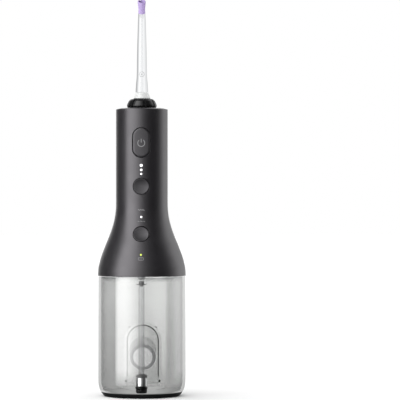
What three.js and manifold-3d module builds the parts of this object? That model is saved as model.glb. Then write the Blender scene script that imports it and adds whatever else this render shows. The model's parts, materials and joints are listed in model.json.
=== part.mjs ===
// Cordless water flosser: handle, clear water tank, nozzle and the pump inside.
// Millimetres, +Z up. The origin is the centre of the base on the floor.
// The front, with the buttons, faces -Y. +X is to the right of the front.

import * as THREE from 'three';
import { mergeVertices } from 'three/addons/utils/BufferGeometryUtils.js';
import Module from 'manifold-3d';

const wasm = await Module();
wasm.setup();

const deg = (degrees) => degrees * Math.PI / 180;

// ---------------------------------------------------------------- dimensions

const SEG = 28;                 // facets round the large turned parts
const SEG_IN = 20;              // facets round the rings inside
const GAP = 0.3;                // gap between neighbouring pieces

// handle
const GRIP_R = 19.25;           // straight grip
const WALL = 2.05;
const HANDLE_TOP = 214.0;
const HANDLE_BOTTOM = 89.35;
const TOP_PLATE = 2.5;
const KNOB_HOLE_R = 7.4;
// outside of the flare below the grip: [radius, z]
const FLARE = [
  [GRIP_R, 141.9], [19.79, 135.2], [20.55, 130.7], [21.69, 126.3],
  [23.15, 121.8], [24.92, 117.3], [28.51, 108.4], [30.17, 103.9],
  [31.41, 99.5], [32.37, 95.0], [32.69, HANDLE_BOTTOM],
];

// buttons and lights on the front (half widths and half heights)
const POWER_Z = 187.9, POWER_HW = 6.75, POWER_HH = 11.25;
const INTENSITY_Z = 155.7, INTENSITY_R = 6.2;
const MODE_Z = 120.6, MODE_R = 6.1;
const MODE_TILT = deg(19.75);
const BUTTON_GAP = 0.45;
const FLANGE_LIP = 0.75;
const FRONT_WALL = [-25, -10];  // y range of tools that pass through the front wall
const INTENSITY_LIGHTS = [
  { z: 171.1, radius: 1.2 }, { z: 167.8, radius: 1.0 }, { z: 164.8, radius: 0.9 },
];
const MODE_LIGHT = { z: 133.1, radius: 0.95 };
const BATTERY_LIGHT = { z: 105.4, radius: 0.8 };

// back of the handle
const RELEASE_Z = 200.5;        // nozzle release button
const SPRING_Z = 199.6;
const PORT_Z = 109.0;           // charging port
const PORT_TILT = deg(21);

// tank
const TANK_TOP = HANDLE_BOTTOM - GAP;
const TANK_IN_R = 30.4;
const TANK_BOTTOM = 1.0;
const TANK_FLOOR_TOP = 2.1;
const POCKET_Y = 28.6;          // flat floor of the fill door's pocket
const POCKET_HW = 12.2;
const POCKET_BOTTOM = 3.6;
const POCKET_ARCH_Z = 39.0;     // centre of the round top of the pocket
const DOOR_HW = POCKET_HW - GAP;
const DOOR_HINGE = [27.8, 8.6]; // y, z of the fill door's hinge
const FILL_Z = 26.7, FILL_R = 10.15, PLUG_R = 9.75, PLUG_BORE = 7.3;
const SEAT_HW = 10.3, SEAT_HH = 12.95, SEAT_Z = 29.35; // slot in the door for its seal

// suction line
const HOSE_Y = -12.0, HOSE_R = 2.25, HOSE_BORE = 1.4;

// nozzle and knob
const STEM_R = 3.6, STEM_BORE = 0.9;
const BEND = deg(32), BEND_R = 12, BEND_Z = 278.6;

// drive
const GEAR_MODULE = 0.7, GEAR_TEETH = 28, PINION_TEETH = 12;
const TOOTH_THINNING = 0.2, ADDENDUM = 0.55, DEDENDUM = 0.85;
const MOTOR_Y = 3.0;
const SCREW_X = 7.4;            // motor screws, either side of the shaft
const GEAR_Y = MOTOR_Y - GEAR_MODULE * (GEAR_TEETH + PINION_TEETH) / 2;
const CRANK_THROW = 2.0;
const CRANK_Y = GEAR_Y - CRANK_THROW;
const CRANK_LEG_Y = CRANK_Y - 1.05;
const ROD_LENGTH = 14.0;
const ROD_Z = 98.2;             // connecting rod, piston and pump axis
const ROD_BOTTOM = ROD_Z - 1, ROD_TOP = ROD_Z + 1;
const WRIST_Y = CRANK_Y + ROD_LENGTH;

// pump
const PUMP_BORE = 3.62;
const PUMP_HH = 5;              // half height of flange and head
const VALVE_X = 2.2, BARB_X = 9, PASSAGE_R = 0.7;
const SUCTION_PORT_Z = 95.05;   // side branch of the suction port
const PUMP_HOSE_R = 1.9, PUMP_HOSE_BORE = 1.5;

// ----------------------------------------------------------------- materials

const LOOK = {
  footPad: { color: 0x26262a, roughness: 0.6 },
  casing: { color: 0x26262a, roughness: 0.42 },
  button: { color: 0x26262a, roughness: 0.35 },
  bulkhead: { color: 0x2c2c30, roughness: 0.5 },
  release: { color: 0x2c2c30, roughness: 0.4 },
  portCover: { color: 0x2c2c30, roughness: 0.7 },
  knob: { color: 0x111113, roughness: 0.12 },
  tank: { color: 0xe8eef0, roughness: 0.08, opacity: 0.35, transparent: true },
  door: { color: 0xdfe5e8, roughness: 0.12, opacity: 0.4, transparent: true },
  nozzle: { color: 0xeef2f4, roughness: 0.06, opacity: 0.5, transparent: true },
  collar: { color: 0xf4f5f6, roughness: 0.35 },
  tip: { color: 0xcdb4e8, roughness: 0.5 },
  socket: { color: 0x46484d, roughness: 0.5 },
  doorSeal: { color: 0x8a8d90, roughness: 0.7 },
  tankSeal: { color: 0xb9bcbd, roughness: 0.6 },
  oRing: { color: 0x1c1c1e, roughness: 0.7 },
  pistonSeal: { color: 0x1e1e20, roughness: 0.7 },
  valve: { color: 0x8f4030, roughness: 0.7 },
  lightGuide: { color: 0xf2f4f5, roughness: 0.3 },
  batteryLight: { color: 0xb7d23a, roughness: 0.3 },
  board: { color: 0x1f5b3a, roughness: 0.5 },
  chassis: { color: 0x3b3d42, roughness: 0.55 },
  battery: { color: 0x2f6f9e, roughness: 0.45 },
  gear: { color: 0xe9e6da, roughness: 0.5 },
  rod: { color: 0xe4e2da, roughness: 0.5 },
  piston: { color: 0xdcdad2, roughness: 0.45 },
  pump: { color: 0xd8d6cc, roughness: 0.45 },
  suctionPort: { color: 0x9b9fa2, roughness: 0.4 },
  pumpHose: { color: 0xdfe3e4, roughness: 0.35 },
  suctionHose: { color: 0xe2e6e7, roughness: 0.3 },
  connector: { color: 0x2a2a2c, roughness: 0.45 },
  filter: { color: 0x1d1d1f, roughness: 0.4 },
  latch: { color: 0xb8bcc0, roughness: 0.3, metalness: 0.9 },
  spring: { color: 0xc4c7ca, roughness: 0.25, metalness: 1 },
  chargingSocket: { color: 0x9a9da0, roughness: 0.35, metalness: 0.8 },
  tactSwitch: { color: 0x9fa3a6, roughness: 0.35, metalness: 0.7 },
  screw: { color: 0xb6babd, roughness: 0.3, metalness: 1 },
  motorCan: { color: 0xb4b8bb, roughness: 0.3, metalness: 0.95 },
  shaft: { color: 0xc8cbce, roughness: 0.2, metalness: 1 },
  tab: { color: 0xc9cccf, roughness: 0.25, metalness: 1 },
  pinion: { color: 0xcfa94a, roughness: 0.35, metalness: 0.9 },
  weight: { color: 0xd0d3d6, roughness: 0.12, metalness: 1 },
};

// -------------------------------------------------------- solids and meshes

// closed manifold from a three.js geometry, turned right side out
function toSolid(geometry) {
  let merged = geometry.index ? geometry.toNonIndexed() : geometry.clone();
  for (const name of Object.keys(merged.attributes)) {
    if (name !== 'position') merged.deleteAttribute(name);
  }
  merged = mergeVertices(merged, 1e-4);
  const positions = merged.attributes.position.array;
  const index = merged.index.array;
  const corner = (i) => new THREE.Vector3().fromArray(positions, 3 * i);
  const triangles = [];
  let volume = 0;
  for (let i = 0; i < index.length; i += 3) {
    const [a, b, c] = index.slice(i, i + 3);
    if (a === b || b === c || a === c) continue;
    triangles.push(a, b, c);
    volume += corner(a).dot(corner(b).cross(corner(c)));
  }
  if (volume < 0) triangles.reverse();
  return new wasm.Manifold(new wasm.Mesh({
    numProp: 3,
    vertProperties: new Float32Array(positions),
    triVerts: new Uint32Array(triangles),
  }));
}

function toGeometry(solid) {
  const mesh = solid.getMesh();
  const indexed = new THREE.BufferGeometry();
  const positions = new Float32Array(mesh.vertProperties);
  indexed.setAttribute('position', new THREE.BufferAttribute(positions, 3));
  indexed.setIndex(Array.from(mesh.triVerts));
  const geometry = indexed.toNonIndexed();
  geometry.computeVertexNormals();
  return geometry;
}

const group = new THREE.Group();
function add(name, solid, look) {
  const mesh = new THREE.Mesh(toGeometry(solid), new THREE.MeshStandardMaterial(look));
  mesh.name = name;
  group.add(mesh);
}

const join = (...solids) => solids.reduce((a, b) => a.add(b));
const cut = (solid, ...tools) => tools.reduce((a, b) => a.subtract(b), solid);
const meet = (a, b) => a.intersect(b);

// solid turned about the vertical line x = 0 at y, from [radius, z] points
function turned(points, seg = SEG, y = 0) {
  const geometry = new THREE.LatheGeometry(points.map((p) => new THREE.Vector2(...p)), seg);
  geometry.rotateX(Math.PI / 2);
  geometry.translate(0, y, 0);
  return toSolid(geometry);
}
const ring = (inner, outer, z0, z1, seg = SEG, y = 0) =>
  turned([[inner, z0], [outer, z0], [outer, z1], [inner, z1], [inner, z0]], seg, y);

function rodX(radius, x0, x1, y, z, seg) {
  const geometry = new THREE.CylinderGeometry(radius, radius, x1 - x0, seg);
  geometry.rotateZ(Math.PI / 2);
  geometry.translate((x0 + x1) / 2, y, z);
  return toSolid(geometry);
}
function rodY(radius, y0, y1, x, z, seg) {
  const geometry = new THREE.CylinderGeometry(radius, radius, y1 - y0, seg);
  geometry.translate(x, (y0 + y1) / 2, z);
  return toSolid(geometry);
}
function rodZ(radius, z0, z1, x, y, seg) {
  const geometry = new THREE.CylinderGeometry(radius, radius, z1 - z0, seg);
  geometry.rotateX(Math.PI / 2);
  geometry.translate(x, y, (z0 + z1) / 2);
  return toSolid(geometry);
}
function rodBetween(radius, start, end, seg) {
  const from = new THREE.Vector3(...start), to = new THREE.Vector3(...end);
  const geometry = new THREE.CylinderGeometry(radius, radius, from.distanceTo(to), seg);
  geometry.applyQuaternion(new THREE.Quaternion().setFromUnitVectors(
    new THREE.Vector3(0, 1, 0), to.clone().sub(from).normalize()));
  geometry.translate(...from.add(to).divideScalar(2).toArray());
  return toSolid(geometry);
}
function block(x0, x1, y0, y1, z0, z1) {
  const geometry = new THREE.BoxGeometry(x1 - x0, y1 - y0, z1 - z0);
  geometry.translate((x0 + x1) / 2, (y0 + y1) / 2, (z0 + z1) / 2);
  return toSolid(geometry);
}

function outline(points) {
  const shape = new THREE.Shape();
  points.forEach(([x, y], i) => (i ? shape.lineTo(x, y) : shape.moveTo(x, y)));
  shape.closePath();
  return shape;
}
// upright slot centred on x = 0
function slotShape(halfWidth, halfHeight, centre) {
  const straight = halfHeight - halfWidth;
  const shape = new THREE.Shape();
  shape.moveTo(halfWidth, centre - straight);
  shape.lineTo(halfWidth, centre + straight);
  shape.absarc(0, centre + straight, halfWidth, 0, Math.PI, false);
  shape.lineTo(-halfWidth, centre - straight);
  shape.absarc(0, centre - straight, halfWidth, Math.PI, 2 * Math.PI, false);
  return shape;
}
function archShape(halfWidth, bottom, archCentre) {
  const shape = new THREE.Shape();
  shape.moveTo(-halfWidth, bottom);
  shape.lineTo(halfWidth, bottom);
  shape.lineTo(halfWidth, archCentre);
  shape.absarc(0, archCentre, halfWidth, 0, Math.PI, false);
  shape.lineTo(-halfWidth, bottom);
  return shape;
}
function roundedRect(halfWidth, y0, y1, radius) {
  const x = halfWidth - radius;
  const shape = new THREE.Shape();
  shape.moveTo(halfWidth, y0 + radius);
  shape.lineTo(halfWidth, y1 - radius);
  shape.absarc(x, y1 - radius, radius, 0, Math.PI / 2, false);
  shape.lineTo(-x, y1);
  shape.absarc(-x, y1 - radius, radius, Math.PI / 2, Math.PI, false);
  shape.lineTo(-halfWidth, y0 + radius);
  shape.absarc(-x, y0 + radius, radius, Math.PI, 1.5 * Math.PI, false);
  shape.lineTo(x, y0);
  shape.absarc(x, y0 + radius, radius, 1.5 * Math.PI, 2 * Math.PI, false);
  return shape;
}

const prismGeometry = (shape, depth, curveSegments = 12) =>
  new THREE.ExtrudeGeometry(shape, { depth, bevelEnabled: false, curveSegments });
// shape drawn in X and Y, raised along Z
function prismZ(shape, z0, z1, seg) {
  const geometry = prismGeometry(shape, z1 - z0, seg);
  geometry.translate(0, 0, z0);
  return toSolid(geometry);
}
// shape drawn in X and Z, extruded along Y
function prismY(shape, y0, y1, seg) {
  const geometry = prismGeometry(shape, y1 - y0, seg);
  geometry.rotateX(Math.PI / 2);
  geometry.translate(0, y1, 0);
  return toSolid(geometry);
}
// shape drawn in Y and Z, extruded along X
function prismX(shape, x0, x1) {
  const geometry = prismGeometry(shape, x1 - x0);
  geometry.applyMatrix4(new THREE.Matrix4().set(
    0, 0, 1, x0,
    1, 0, 0, 0,
    0, 1, 0, 0,
    0, 0, 0, 1,
  ));
  return toSolid(geometry);
}

// round wire or tube along a curve
function sweep(extrudePath, radius, steps, curveSegments, bore = 0) {
  const section = new THREE.Shape();
  section.absarc(0, 0, radius, 0, 2 * Math.PI, false);
  if (bore) {
    const hole = new THREE.Path();
    hole.absarc(0, 0, bore, 0, 2 * Math.PI, true);
    section.holes.push(hole);
  }
  return toSolid(new THREE.ExtrudeGeometry(section, {
    steps, curveSegments, bevelEnabled: false, extrudePath,
  }));
}
// path through points with rounded corners
function roundedPath(points, radius) {
  const corners = points.map((p) => new THREE.Vector3(...p));
  const path = new THREE.CurvePath();
  let from = corners[0];
  for (let i = 1; i < corners.length - 1; i++) {
    const corner = corners[i];
    const back = corners[i - 1].clone().sub(corner);
    const ahead = corners[i + 1].clone().sub(corner);
    const setback = Math.min(radius, back.length() / 2.05, ahead.length() / 2.05);
    const start = corner.clone().addScaledVector(back.normalize(), setback);
    const end = corner.clone().addScaledVector(ahead.normalize(), setback);
    if (from.distanceTo(start) > 0.01) path.add(new THREE.LineCurve3(from, start));
    path.add(new THREE.QuadraticBezierCurve3(start, corner, end));
    from = end;
  }
  path.add(new THREE.LineCurve3(from, corners.at(-1)));
  return path;
}

// --------------------------------------------------------------------- tank

add('foot_pad', turned([
  [0, 0], [28.2, 0], [28.95, 1.1], [30.45, 3.0], [27.5, 3.0], [26.75, 0.7], [0, 0.7],
]), LOOK.footPad);

function tankShell() {
  const outside = turned([
    [0, TANK_BOTTOM], [26.3, TANK_BOTTOM], [27.1, 3.3], [30.5, 3.35], [31.5, 5.6],
    [32.4, 10.0], [32.5, 14.5], [32.65, 19.0], [32.4, TANK_TOP], [0, TANK_TOP],
  ]);
  const inside = turned([
    [0, TANK_FLOOR_TOP], [25.3, TANK_FLOOR_TOP], [28.3, 4.6], [30.1, 9.0],
    [TANK_IN_R, 14.5], [TANK_IN_R, TANK_TOP + 1], [0, TANK_TOP + 1],
  ]);
  const backing = join(
    prismY(archShape(POCKET_HW + 2, 1.5, POCKET_ARCH_Z), POCKET_Y - 2, 40, 6),
    block(-15, 15, 23.7, 40, 1.5, 14.0),
  );
  const pocket = join(
    prismY(archShape(POCKET_HW, POCKET_BOTTOM, POCKET_ARCH_Z), POCKET_Y, 40, 6),
    block(-POCKET_HW, POCKET_HW, 25.7, 40, POCKET_BOTTOM, 12.0),
  );
  const hingeHoles = rodX(1.05, -13.4, 13.4, ...DOOR_HINGE, 12);
  return cut(
    join(cut(outside, inside), meet(backing, outside)),
    pocket,
    rodY(FILL_R, 20, 40, 0, FILL_Z, 24),
    hingeHoles,
  );
}
add('tank_shell', tankShell(), LOOK.tank);

// fill door at the back: arched flap hinged at its foot, with a slot for the seal
function fillDoor() {
  const skin = turned([[0, 5], [31.5, 5], [32.35, 10.0], [32.4, 14.5], [32.45, 60], [0, 60]]);
  const plate = meet(prismY(archShape(DOOR_HW, 7.3, POCKET_ARCH_Z), 29.0, 40, 6), skin);
  const web = block(-DOOR_HW, DOOR_HW, DOOR_HINGE[0], 29.4, DOOR_HINGE[1], 10.3);
  const knuckle = rodX(1.7, -DOOR_HW, DOOR_HW, ...DOOR_HINGE, 16);
  const pins = rodX(0.8, -13.1, 13.1, ...DOOR_HINGE, 8);
  const lip = block(-5, 5, 31.0, 32.65, 46.2, 47.6);
  const seat = prismY(slotShape(SEAT_HW, SEAT_HH, SEAT_Z), 28.5, 30.2, 6);
  return cut(join(plate, web, knuckle, pins, lip), seat);
}
add('fill_door', fillDoor(), LOOK.door);

// pad in the door's slot, with a round hollow plug for the fill hole
add('fill_door_seal', join(
  prismY(slotShape(SEAT_HW - GAP, SEAT_HH - GAP, SEAT_Z), 28.8, 29.9, 6),
  cut(rodY(PLUG_R, 26.2, 29.0, 0, FILL_Z, 24), rodY(PLUG_BORE, 25.0, 28.6, 0, FILL_Z, 20)),
), LOOK.doorSeal);

// ------------------------------------------------------------- handle casing

// radius of the outside of the flare at height z
function flareRadius(z) {
  const i = FLARE.findIndex(([, height]) => z >= height);
  const [r1, z1] = FLARE[i - 1], [r0, z0] = FLARE[i];
  return r0 + (r1 - r0) * (z - z0) / (z1 - z0);
}

// solid handle, drawn in by `inset` at the sides and by `drop` round the top
const handleForm = (inset, drop) => turned([
  [0, HANDLE_TOP - drop], [12.5 - drop, HANDLE_TOP - drop],
  [16.2 - drop, 213.75 - drop], [GRIP_R - inset, 212.95 - drop],
  ...FLARE.map(([r, z]) => [r - inset, z]), [0, HANDLE_BOTTOM],
]);
const outerHandle = handleForm(0, 0);
const skinHandle = handleForm(0.08, 0.1);

// point on the mode button's axis, `distance` outwards from the slanted flare
const modeOut = new THREE.Vector3(0, -Math.cos(MODE_TILT), Math.sin(MODE_TILT));
const onMode = (distance) => new THREE.Vector3(0, -flareRadius(MODE_Z), MODE_Z)
  .addScaledVector(modeOut, distance).toArray();

// prism on the charging port: X across, Y up the slope, depth outwards
function portPrism(shape, inner, outer, seg) {
  const across = new THREE.Vector3(-1, 0, 0);
  const up = new THREE.Vector3(0, -Math.sin(PORT_TILT), Math.cos(PORT_TILT));
  const out = new THREE.Vector3(0, Math.cos(PORT_TILT), Math.sin(PORT_TILT));
  const geometry = prismGeometry(shape, outer - inner, seg);
  geometry.translate(0, 0, inner);
  geometry.applyMatrix4(new THREE.Matrix4().makeBasis(across, up, out)
    .setPosition(0, flareRadius(PORT_Z), PORT_Z));
  return toSolid(geometry);
}

function handleHousing() {
  const inside = turned([
    [0, HANDLE_TOP - TOP_PLATE], [GRIP_R - WALL, HANDLE_TOP - TOP_PLATE],
    [GRIP_R - WALL, 142.5], [18.5, 130.7], [21.15, 121.8],
    [28.17, 103.9], [30.37, 95.0], [30.69, 89.0], [30.69, 80], [0, 80],
  ]);
  const portBoss = meet(portPrism(roundedRect(8, -6.4, 5.5, 3), -5.0, 3, 6), outerHandle);
  const lightHoles = [...INTENSITY_LIGHTS, MODE_LIGHT]
    .map(({ z, radius }) => rodY(radius + 0.25, -34, -14, 0, z, 12));
  return cut(
    join(cut(outerHandle, inside), portBoss),
    rodZ(KNOB_HOLE_R, 205, 220, 0, 0, SEG),
    prismY(slotShape(POWER_HW, POWER_HH, POWER_Z), ...FRONT_WALL, 8),
    rodY(INTENSITY_R, ...FRONT_WALL, 0, INTENSITY_Z, 16),
    rodBetween(MODE_R, onMode(6), onMode(-7), 16),
    ...lightHoles,
    rodY(BATTERY_LIGHT.radius + 0.3, -34, -20, 0, BATTERY_LIGHT.z, 12),
    rodY(4.8, 10, 25, 0, RELEASE_Z, 16),
    portPrism(roundedRect(6.7, -5.2, 4.3, 3), -2.6, 4, 6),
    portPrism(roundedRect(3.7, -2.1, 2.1, 0.4), -8, 4, 2),
  );
}
add('handle_housing', handleHousing(), LOOK.casing);

// floor of the handle, with the collar that plugs into the tank
add('handle_bulkhead', cut(
  turned([
    [0, 89.6], [26.5, 89.6], [26.5, 84.5], [29.9, 84.5], [29.9, 86.0], [28.5, 86.0],
    [28.5, 88.75], [30.3, 89.4], [30.3, 90.1], [29.2, 90.1],
    [29.2, 91.5], [30.3, 91.5], [30.3, 92.0], [0, 92.0],
  ], SEG_IN),
  rodZ(3.3, 80, 95, 0, HOSE_Y, 16),
), LOOK.bulkhead);
add('tank_seal', ring(28.7, 30.1, 86.15, 88.5, SEG_IN), LOOK.tankSeal);
add('bulkhead_o_ring', ring(29.35, 30.35, 90.25, 91.35, SEG_IN), LOOK.oRing);

// ------------------------------------------------------------------- buttons

// cap and flange trimmed to the round grip, with a stub behind
function gripButton(cap, flange, z) {
  const band = (outer) => ring(16.2, outer, z - 15, z + 15);
  return join(
    meet(cap, band(GRIP_R - 0.06)),
    meet(flange, band(16.85)),
    rodY(1.4, -16.6, -15.6, 0, z, 12),
  );
}
const powerPrism = (extra, seg) =>
  prismY(slotShape(POWER_HW + extra, POWER_HH + extra, POWER_Z), ...FRONT_WALL, seg);
const intensityRod = (extra, seg) =>
  rodY(INTENSITY_R + extra, ...FRONT_WALL, 0, INTENSITY_Z, seg);
add('power_button',
  gripButton(powerPrism(-BUTTON_GAP, 8), powerPrism(FLANGE_LIP, 5), POWER_Z), LOOK.button);
add('intensity_button',
  gripButton(intensityRod(-BUTTON_GAP, 18), intensityRod(FLANGE_LIP, 12), INTENSITY_Z),
  LOOK.button);
add('mode_button', join(
  meet(rodBetween(MODE_R - BUTTON_GAP, onMode(5), onMode(-3.9), 18), skinHandle),
  rodBetween(MODE_R + 0.5, onMode(-3.3), onMode(-3.9), 12),
  rodBetween(1.5, onMode(-3.6), onMode(-6.0), 12),
), LOOK.button);

// nozzle release on the back: push button, sliding latch plate and return spring
add('release_button', cut(
  join(rodY(4.4, 13.0, 19.7, 0, RELEASE_Z, 16), rodY(5.6, 15.0, 15.8, 0, RELEASE_Z, 12)),
  rodY(2.5, 12, 15.3, 0, SPRING_Z, 12),
), LOOK.release);

function releaseLatch() {
  const radius = 3.95, stretch = 2;
  const hole = new THREE.Shape();
  hole.moveTo(radius, 0);
  hole.lineTo(radius, stretch);
  hole.absarc(0, stretch, radius, 0, Math.PI, false);
  hole.lineTo(-radius, 0);
  hole.absarc(0, 0, radius, Math.PI, 2 * Math.PI, false);
  const plate = prismZ(roundedRect(6, -6, 12.8, 2), 203.0, 204.2, 3);
  return cut(plate, prismZ(hole, 200, 206, 12));
}
add('release_latch', releaseLatch(), LOOK.latch);

class Coil extends THREE.Curve {
  getPoint(t, target = new THREE.Vector3()) {
    const turns = 4.5, radius = 1.75, length = 6.4;
    const angle = 2 * Math.PI * turns * t;
    return target.set(
      radius * Math.cos(angle), 8.2 + length * t, SPRING_Z + radius * Math.sin(angle));
  }
}
add('release_spring', sweep(new Coil(), 0.28, 30, 2), LOOK.spring);

// charging port on the back of the flare, with its cover
add('charging_socket', join(
  cut(
    portPrism(roundedRect(3.4, -1.8, 1.8, 0.4), -10.0, -2.9, 2),
    portPrism(roundedRect(2.7, -1.1, 1.1, 0.3), -9.0, 0, 2),
  ),
  portPrism(roundedRect(2.0, -0.25, 0.25, 0.1), -9.2, -4.6, 1), // contacts
), LOOK.chargingSocket);
add('port_cover', join(
  meet(portPrism(roundedRect(6.4, -4.0, 4.0, 3), -2.3, 4, 6), skinHandle),
  portPrism(roundedRect(2.3, -0.5, 0.5, 0.2), -3.4, -2.0, 2),
), LOOK.portCover);

// ---------------------------------------------------------- lights and board

add('intensity_light_guide', join(
  block(-1.5, 1.5, -14.5, -13.2, 163.4, 172.6),
  ...INTENSITY_LIGHTS.map(({ z, radius }) => rodY(radius, -(GRIP_R - 0.1), -14.2, 0, z, 16)),
), LOOK.lightGuide);
add('mode_light_guide', rodY(
  MODE_LIGHT.radius, -(flareRadius(MODE_LIGHT.z) - 0.1), -13.2, 0, MODE_LIGHT.z, 16,
), LOOK.lightGuide);

function batteryLightGuide() {
  const { z, radius } = BATTERY_LIGHT;
  return join(
    rodY(radius, -(flareRadius(z) - 0.15), -26.9, 0, z, 10),
    rodBetween(radius, [0, -27.2, z], [0, -13.35, 112.6], 10),
  );
}
add('battery_light_guide', batteryLightGuide(), LOOK.batteryLight);

// board, with a wedge in front of it behind the tilted switch: [y, z]
add('control_board', join(
  block(-7, 7, -12.9, -11.7, 111.6, 204),
  prismX(outline([
    [-12.0, 114.1], [-12.9, 114.1], [-16.15, 114.9],
    [-14.1, 120.5], [-12.9, 121.4], [-12.0, 121.4],
  ]), -3.5, 3.5),
), LOOK.board);

[POWER_Z, INTENSITY_Z].forEach((z, i) => add(`tact_switch_${i + 1}`, join(
  block(-3, 3, -14.4, -13.1, z - 3, z + 3),
  rodY(1.5, -14.9, -14.2, 0, z, 12),
), LOOK.tactSwitch));

function tiltedSwitch() {
  const body = new THREE.BoxGeometry(6, 6, 1.4);
  const across = new THREE.Vector3(1, 0, 0);
  const up = new THREE.Vector3(0, Math.sin(MODE_TILT), Math.cos(MODE_TILT));
  body.applyMatrix4(new THREE.Matrix4().makeBasis(across, up, modeOut)
    .setPosition(...onMode(-7.9)));
  return join(toSolid(body), rodBetween(1.5, onMode(-7.4), onMode(-6.7), 12));
}
add('tact_switch_3', tiltedSwitch(), LOOK.tactSwitch);

// ------------------------------------------------- chassis, battery and motor

const CHASSIS_HW = 9.5, RAIL_IN_X = 8.6, CHASSIS_BOTTOM = 107.9;

const screwHoles = (radius, top) =>
  [SCREW_X, -SCREW_X].map((x) => rodZ(radius, 100, top, x, MOTOR_Y, 8));

add('chassis', cut(
  join(
    block(-CHASSIS_HW, CHASSIS_HW, -11.3, -9.4, CHASSIS_BOTTOM, 202),      // tray
    block(-CHASSIS_HW, -RAIL_IN_X, -9.8, -4.5, CHASSIS_BOTTOM, 192),       // side rails
    block(RAIL_IN_X, CHASSIS_HW, -9.8, -4.5, CHASSIS_BOTTOM, 192),
    block(-8, 8, -9.8, 11, 134.8, 135.6),                                  // shelves
    block(-8, 8, -9.8, 8, 186.4, 187.8),
    block(-CHASSIS_HW, CHASSIS_HW, -14.5, 13.5, CHASSIS_BOTTOM, 110.2),    // foot
  ),
  rodZ(3.2, 100, 112, 0, MOTOR_Y, 16),
  rodZ(1.5, 100, 112, 0, GEAR_Y, 12),
  ...screwHoles(1.2, 112),
), LOOK.chassis);

// screw driven upwards, with a cross slot under its head
function motorScrew(x) {
  const crossSlot = (halfX, halfY) =>
    block(x - halfX, x + halfX, MOTOR_Y - halfY, MOTOR_Y + halfY, 106, 107.2);
  return cut(
    join(rodZ(1.85, 106.8, 107.75, x, MOTOR_Y, 12), rodZ(0.95, 107.5, 114.0, x, MOTOR_Y, 8)),
    crossSlot(1.2, 0.25),
    crossSlot(0.25, 1.2),
  );
}
[-SCREW_X, SCREW_X].forEach((x, i) => add(`motor_screw_${i + 1}`, motorScrew(x), LOOK.screw));

add('motor_can', cut(
  turned([
    [0, 110.5], [9.6, 110.5], [10.0, 111.0], [10.0, 133.0],
    [9.4, 133.6], [3.0, 133.6], [3.0, 134.4], [0, 134.4],
  ], 16, MOTOR_Y),
  rodZ(1.3, 100, 120, 0, MOTOR_Y, 12),
  ...screwHoles(1.15, 114.6),
), LOOK.motorCan);
add('motor_shaft', rodZ(1.0, 103.5, 118.5, 0, MOTOR_Y, 12), LOOK.shaft);

add('battery_cell', turned([
  [0, 136.2], [8.7, 136.2], [9.1, 136.7], [9.1, 184.2],
  [8.6, 184.9], [3.2, 184.9], [3.2, 185.7], [0, 185.7],
], 16, 3), LOOK.battery);
for (const [end, z] of [['top', 185.85], ['bottom', 135.75]]) {
  add(`battery_tab_${end}`, block(-3.5, 3.5, -7.5, 5.5, z, z + 0.3), LOOK.tab);
}

// --------------------------------------------------- gears, crank and piston

// involute spur gear outline centred on x = 0, y = centreY, a tooth on angle `start`
function gearShape(teeth, centreY, start) {
  const pitchR = GEAR_MODULE * teeth / 2;
  const baseR = pitchR * Math.cos(deg(20));
  // involute angle at a radius, zero inside the base circle
  const involute = (radius) => {
    const pressure = Math.acos(Math.min(1, baseR / radius));
    return Math.tan(pressure) - pressure;
  };
  const half = Math.PI / (2 * teeth) - TOOTH_THINNING / (2 * pitchR) + involute(pitchR);
  const flank = [pitchR - DEDENDUM, pitchR, pitchR + ADDENDUM]
    .map((radius) => [radius, half - involute(radius)]);
  const points = [];
  const addPoint = (radius, angle) =>
    points.push([radius * Math.cos(angle), centreY + radius * Math.sin(angle)]);
  for (let i = 0; i < teeth; i++) {
    const middle = start + i * 2 * Math.PI / teeth;
    for (const [radius, angle] of flank) addPoint(radius, middle - angle);
    for (const [radius, angle] of flank.toReversed()) addPoint(radius, middle + angle);
  }
  return outline(points);
}

// the pinion has a tooth gap where the gear has a tooth
const pinionStart = -Math.PI / 2 + Math.PI / PINION_TEETH;
add('motor_pinion', cut(
  prismZ(gearShape(PINION_TEETH, MOTOR_Y, pinionStart), 103.75, 107.25),
  rodZ(1.12, 100, 110, 0, MOTOR_Y, 12),
), LOOK.pinion);
add('drive_gear', cut(
  prismZ(gearShape(GEAR_TEETH, GEAR_Y, Math.PI / 2), 103.8, 107.0),
  rodZ(1.6, 104.8, 110, 0, GEAR_Y, 12),
  rodZ(1.2, 100, 106.4, 0, CRANK_LEG_Y, 12),
), LOOK.gear);
add('crank_axle', rodZ(1.35, 105.1, 110.1, 0, GEAR_Y, 12), LOOK.shaft);

// the pin hangs from a short web under the gear, one throw from its axis
add('crank_pin', join(
  rodZ(1.1, 99.6, 103.4, 0, CRANK_Y, 12),
  block(-1.1, 1.1, CRANK_Y - 2.1, CRANK_Y + 0.6, 102.3, 103.4),
  rodZ(1.1, 102.3, 106.2, 0, CRANK_LEG_Y, 12),
), LOOK.shaft);

add('connecting_rod', cut(
  join(
    rodZ(2.4, ROD_BOTTOM, ROD_TOP, 0, CRANK_Y, 16),
    rodZ(2.0, ROD_BOTTOM, ROD_TOP, 0, WRIST_Y, 16),
    block(-1.25, 1.25, CRANK_Y, WRIST_Y, ROD_BOTTOM, ROD_TOP),
  ),
  rodZ(1.25, 90, 110, 0, CRANK_Y, 12),
  rodZ(1.0, 90, 110, 0, WRIST_Y, 12),
), LOOK.rod);

// ring round the piston's axis
const pistonRing = (inner, outer, y0, y1) =>
  cut(rodY(outer, y0, y1, 0, ROD_Z, 16), rodY(inner, 8, 11, 0, ROD_Z, 16));

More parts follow.
